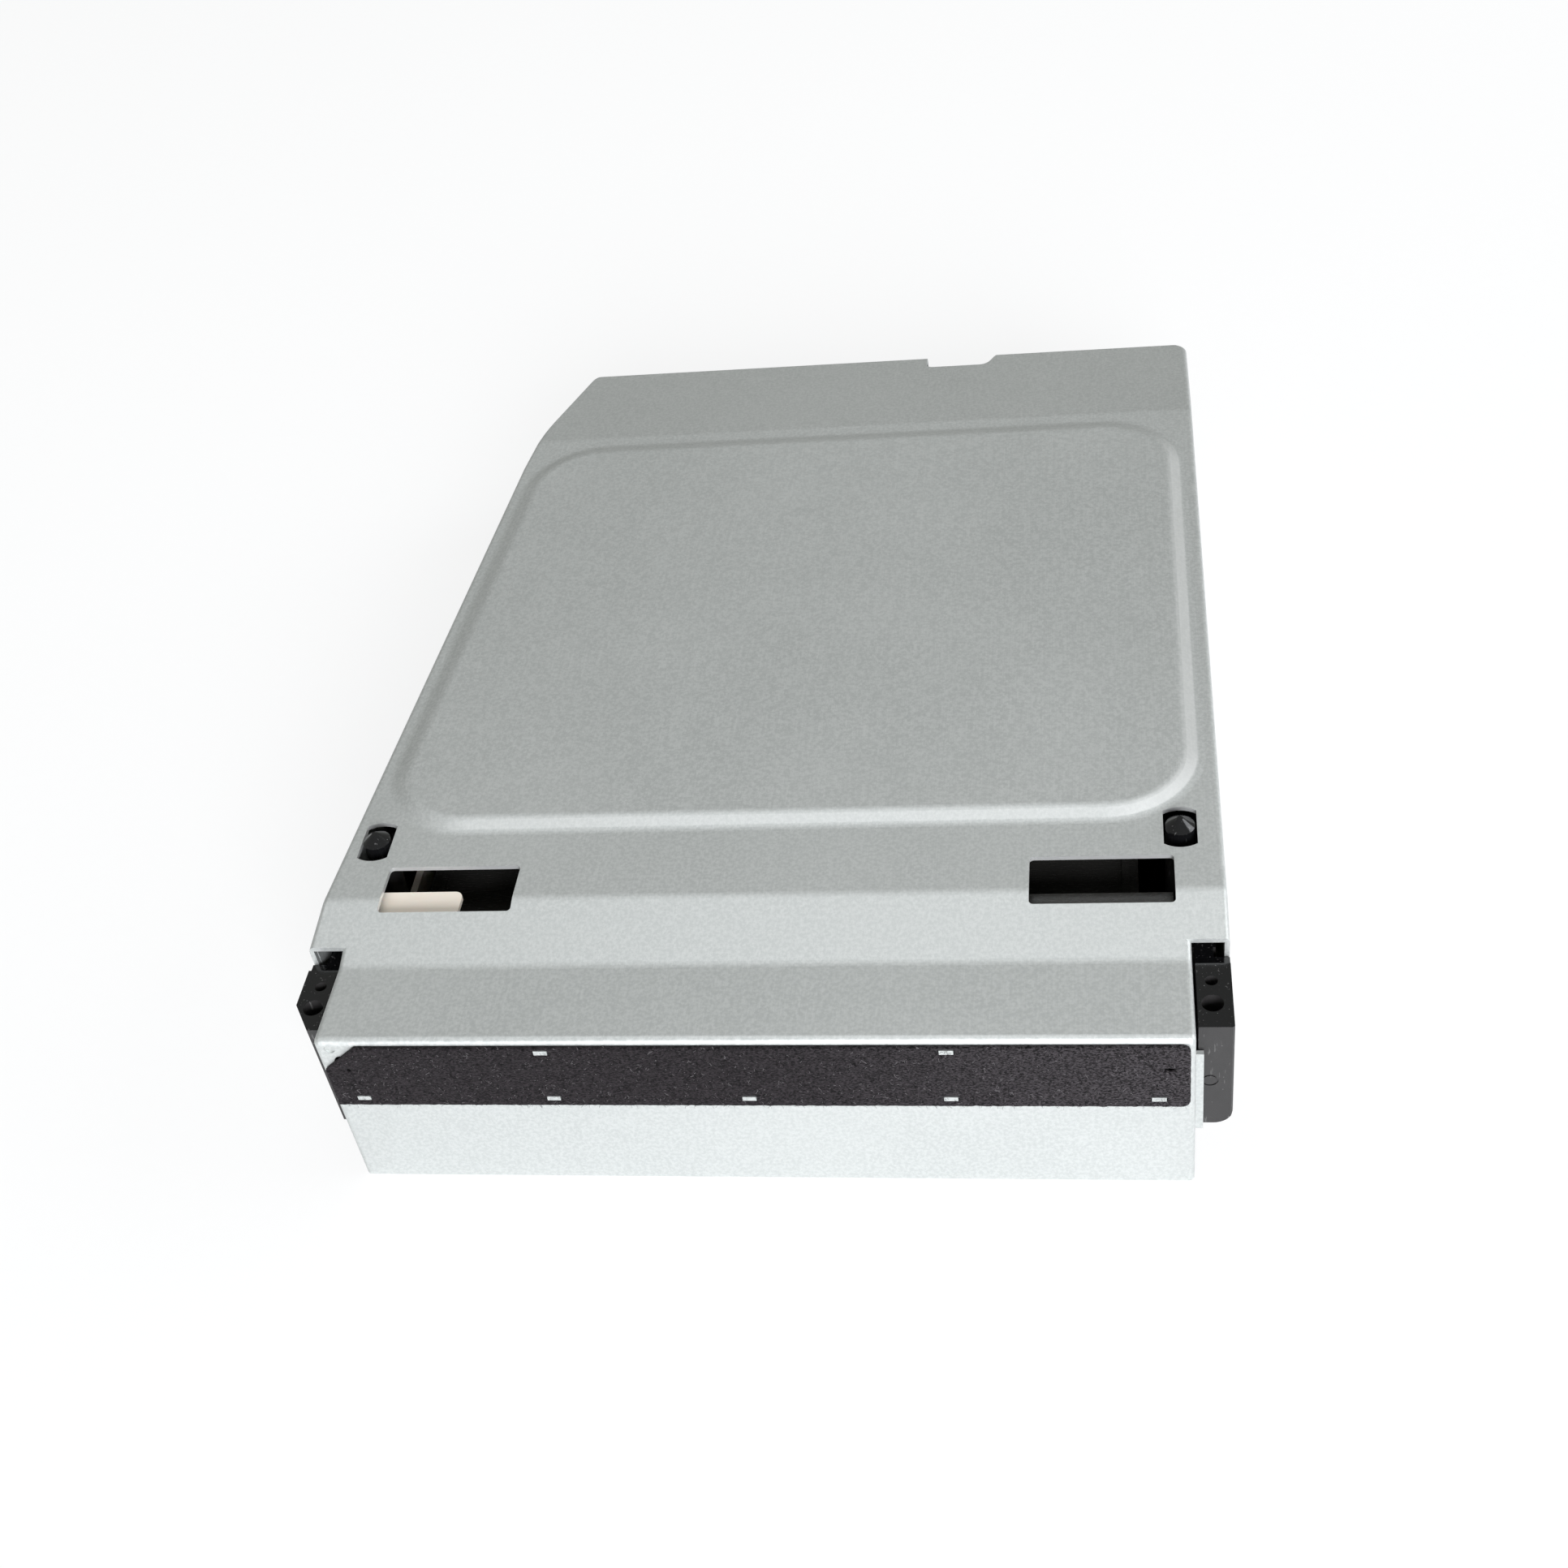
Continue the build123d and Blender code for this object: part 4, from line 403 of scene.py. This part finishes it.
# Dark engineering plastic: turntable rim, clamper, lens cover, lens holder, rod clamps and screw
# bearing are mouldings with a fine grain.
shader, place = Field.surface(
    "rotor_plastic", "turntable", "clamper", "lens_cover", "lens_holder", "rod_clamps", "screw_bearing"
)
grain = place.noise(5.0, 3.0, 0.6)
flow = place.noise(0.2, 3.0)
tone = flow.mix((0.025, 0.025, 0.028), (0.05, 0.05, 0.055))
place.paint(shader, tone, grain.ramp(0.3, 0.7, 0.4, 0.55))
grain.relief(shader, 0.25, 0.00003)

# Control board: glass-fibre laminate held by screws, its copper tracks showing through the green
# solder mask as slightly paler lines.
shader, place = Field.surface("board_laminate", "control_board")
tracks = (place * (1.0, 1.0, 0.0)).cells(0.22, "DISTANCE_TO_EDGE").ramp(0.03, 0.05, 1.0, 0.0)
mottle = place.noise(0.8, 3.0)
tone = mottle.mix((0.008, 0.085, 0.028), (0.013, 0.12, 0.04))
tone = (tracks * 0.7).mix(tone, (0.03, 0.22, 0.075))
place.paint(shader, tone, mottle.ramp(0.3, 0.7, 0.22, 0.34))
tracks.relief(shader, 0.3, 0.00003)

# Chips: the packages on the board are moulded in matt black resin with a fine grain, and bear no
# marking.
shader, place = Field.surface("chip_resin", "board_chips")
grain = place.noise(7.0, 3.0, 0.6)
tone = grain.mix((0.012, 0.012, 0.013), (0.03, 0.03, 0.031))
place.paint(shader, tone, grain.ramp(0.3, 0.7, 0.5, 0.65))
grain.relief(shader, 0.3, 0.00003)

# Objective lens: moulded glass in the lens holder, with a bluish anti-reflection coating that
# deepens towards the rim.
lens_depth = 23.15
shader, place = Field.surface("lens_glass", "objective_lens")
from_axis = place * (1.0, 1.0, 0.0) - (0.0, lens_depth, 0.0)
coat = from_axis.node("VectorMath", {"operation": "LENGTH"}, {0: from_axis}, 1).ramp(0.5, 3.2)
tone = coat.mix((0.35, 0.45, 0.75), (0.20, 0.12, 0.42))
place.paint(shader, tone, coat.ramp(0.0, 1.0, 0.02, 0.06), Transmission_Weight=0.6, IOR=1.52)

# Clamp magnet: sintered ferrite, dark grey and slightly chipped. Its pull holds the disc between the
# clamper and the turntable.
shader, place = Field.surface("magnet", "clamp_magnet")
grain = place.noise(3.0, 4.0, 0.7)
tone = grain.mix((0.05, 0.05, 0.052), (0.11, 0.11, 0.11))
place.paint(shader, tone, grain.ramp(0.3, 0.7, 0.5, 0.7), 0.3)
grain.relief(shader, 0.3, 0.00005)

# Floor: a plain pale sheet that the drive lies on. Seen by the camera it mostly glows white, so that
# it runs into the background and keeps only a faint shadow.
floor_size = 8
glow_share = 0.8
bpy.ops.mesh.primitive_plane_add(size=floor_size, location=(0, 0, 0))
floor = bpy.context.object
floor.name = "floor"
shader, place = Field.surface("floor_paper")
pulp = place.noise(0.4, 3.0)
place.paint(shader, pulp.mix((0.80, 0.80, 0.80), (0.83, 0.83, 0.83)), pulp.ramp(0.3, 0.7, 0.8, 0.95))
glow = place.node("Emission", {}, {"Color": (1.0, 1.0, 1.0), "Strength": 1.0})
seen = place.node("LightPath", {}, {})
matt = Field(place.tree, shader.outputs[0])
blend = place.node("MixShader", {}, {0: seen * glow_share, 1: matt, 2: glow})
blend.feed(place.tree.nodes["Material Output"].inputs["Surface"], blend)
floor.data.materials.append(bpy.data.materials["floor_paper"])
floor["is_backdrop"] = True

# Studio: a surround that the camera sees as white, and the drive only as a dim grey, so that the
# steel takes its light from three large soft lamps.
mirrored_share = 0.12
world = bpy.data.worlds.new("studio")
bpy.context.scene.world = world
world.use_nodes = True
tree = world.node_tree
path = tree.nodes.new("ShaderNodeLightPath")
seen = Field(tree, path.outputs["Is Camera Ray"])
for ray in ("Is Glossy Ray", "Is Transmission Ray"):
    seen = seen + Field(tree, path.outputs[ray]) * mirrored_share
seen.feed(tree.nodes["Background"].inputs["Color"], seen.mix((0.262, 0.268, 0.247), (1.0, 1.0, 1.0)))
for name, spot, width, depth, power in (
    ("key", (0.8, -2.6, 1.1), 1.6, 1.2, 163.0),
    ("side", (1.9, 0.3, 0.9), 1.2, 1.2, 18.0),
    ("top", (0.0, 0.2, 2.0), 1.5, 1.5, 9.0),
):
    bpy.ops.object.light_add(type="AREA", location=spot)
    lamp = bpy.context.object
    lamp.name = name
    lamp.data.shape = "RECTANGLE"
    lamp.data.size = width
    lamp.data.size_y = depth
    lamp.data.energy = power
    lamp.data.color = (0.935, 0.96, 1.0)
    lamp.rotation_mode = "QUATERNION"
    lamp.rotation_quaternion = (Vector((0, 0, 0.02)) - Vector(spot)).to_track_quat("-Z", "Y")

# Camera: placed where the photograph was taken from, which the case's straight edges give, and
# turned by the picture's own directions: to its right, down it and into it.
viewpoint = (0.058975, -0.302813, 0.273355)
right = Vector((0.9866557, 0.1037314, -0.1255003))
down = Vector((-0.0225670, -0.6762269, -0.7363477))
ahead = Vector((-0.1612491, 0.7293538, -0.6648622))
bpy.ops.object.camera_add()
camera = bpy.context.object
camera.data.sensor_width = 36
camera.data.lens = 47.41
turn = Matrix((right, -down, -ahead)).transposed().to_4x4()
camera.matrix_world = Matrix.Translation(viewpoint) @ turn
bpy.context.scene.camera = camera
bpy.context.scene.view_settings.view_transform = "Standard"

low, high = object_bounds()
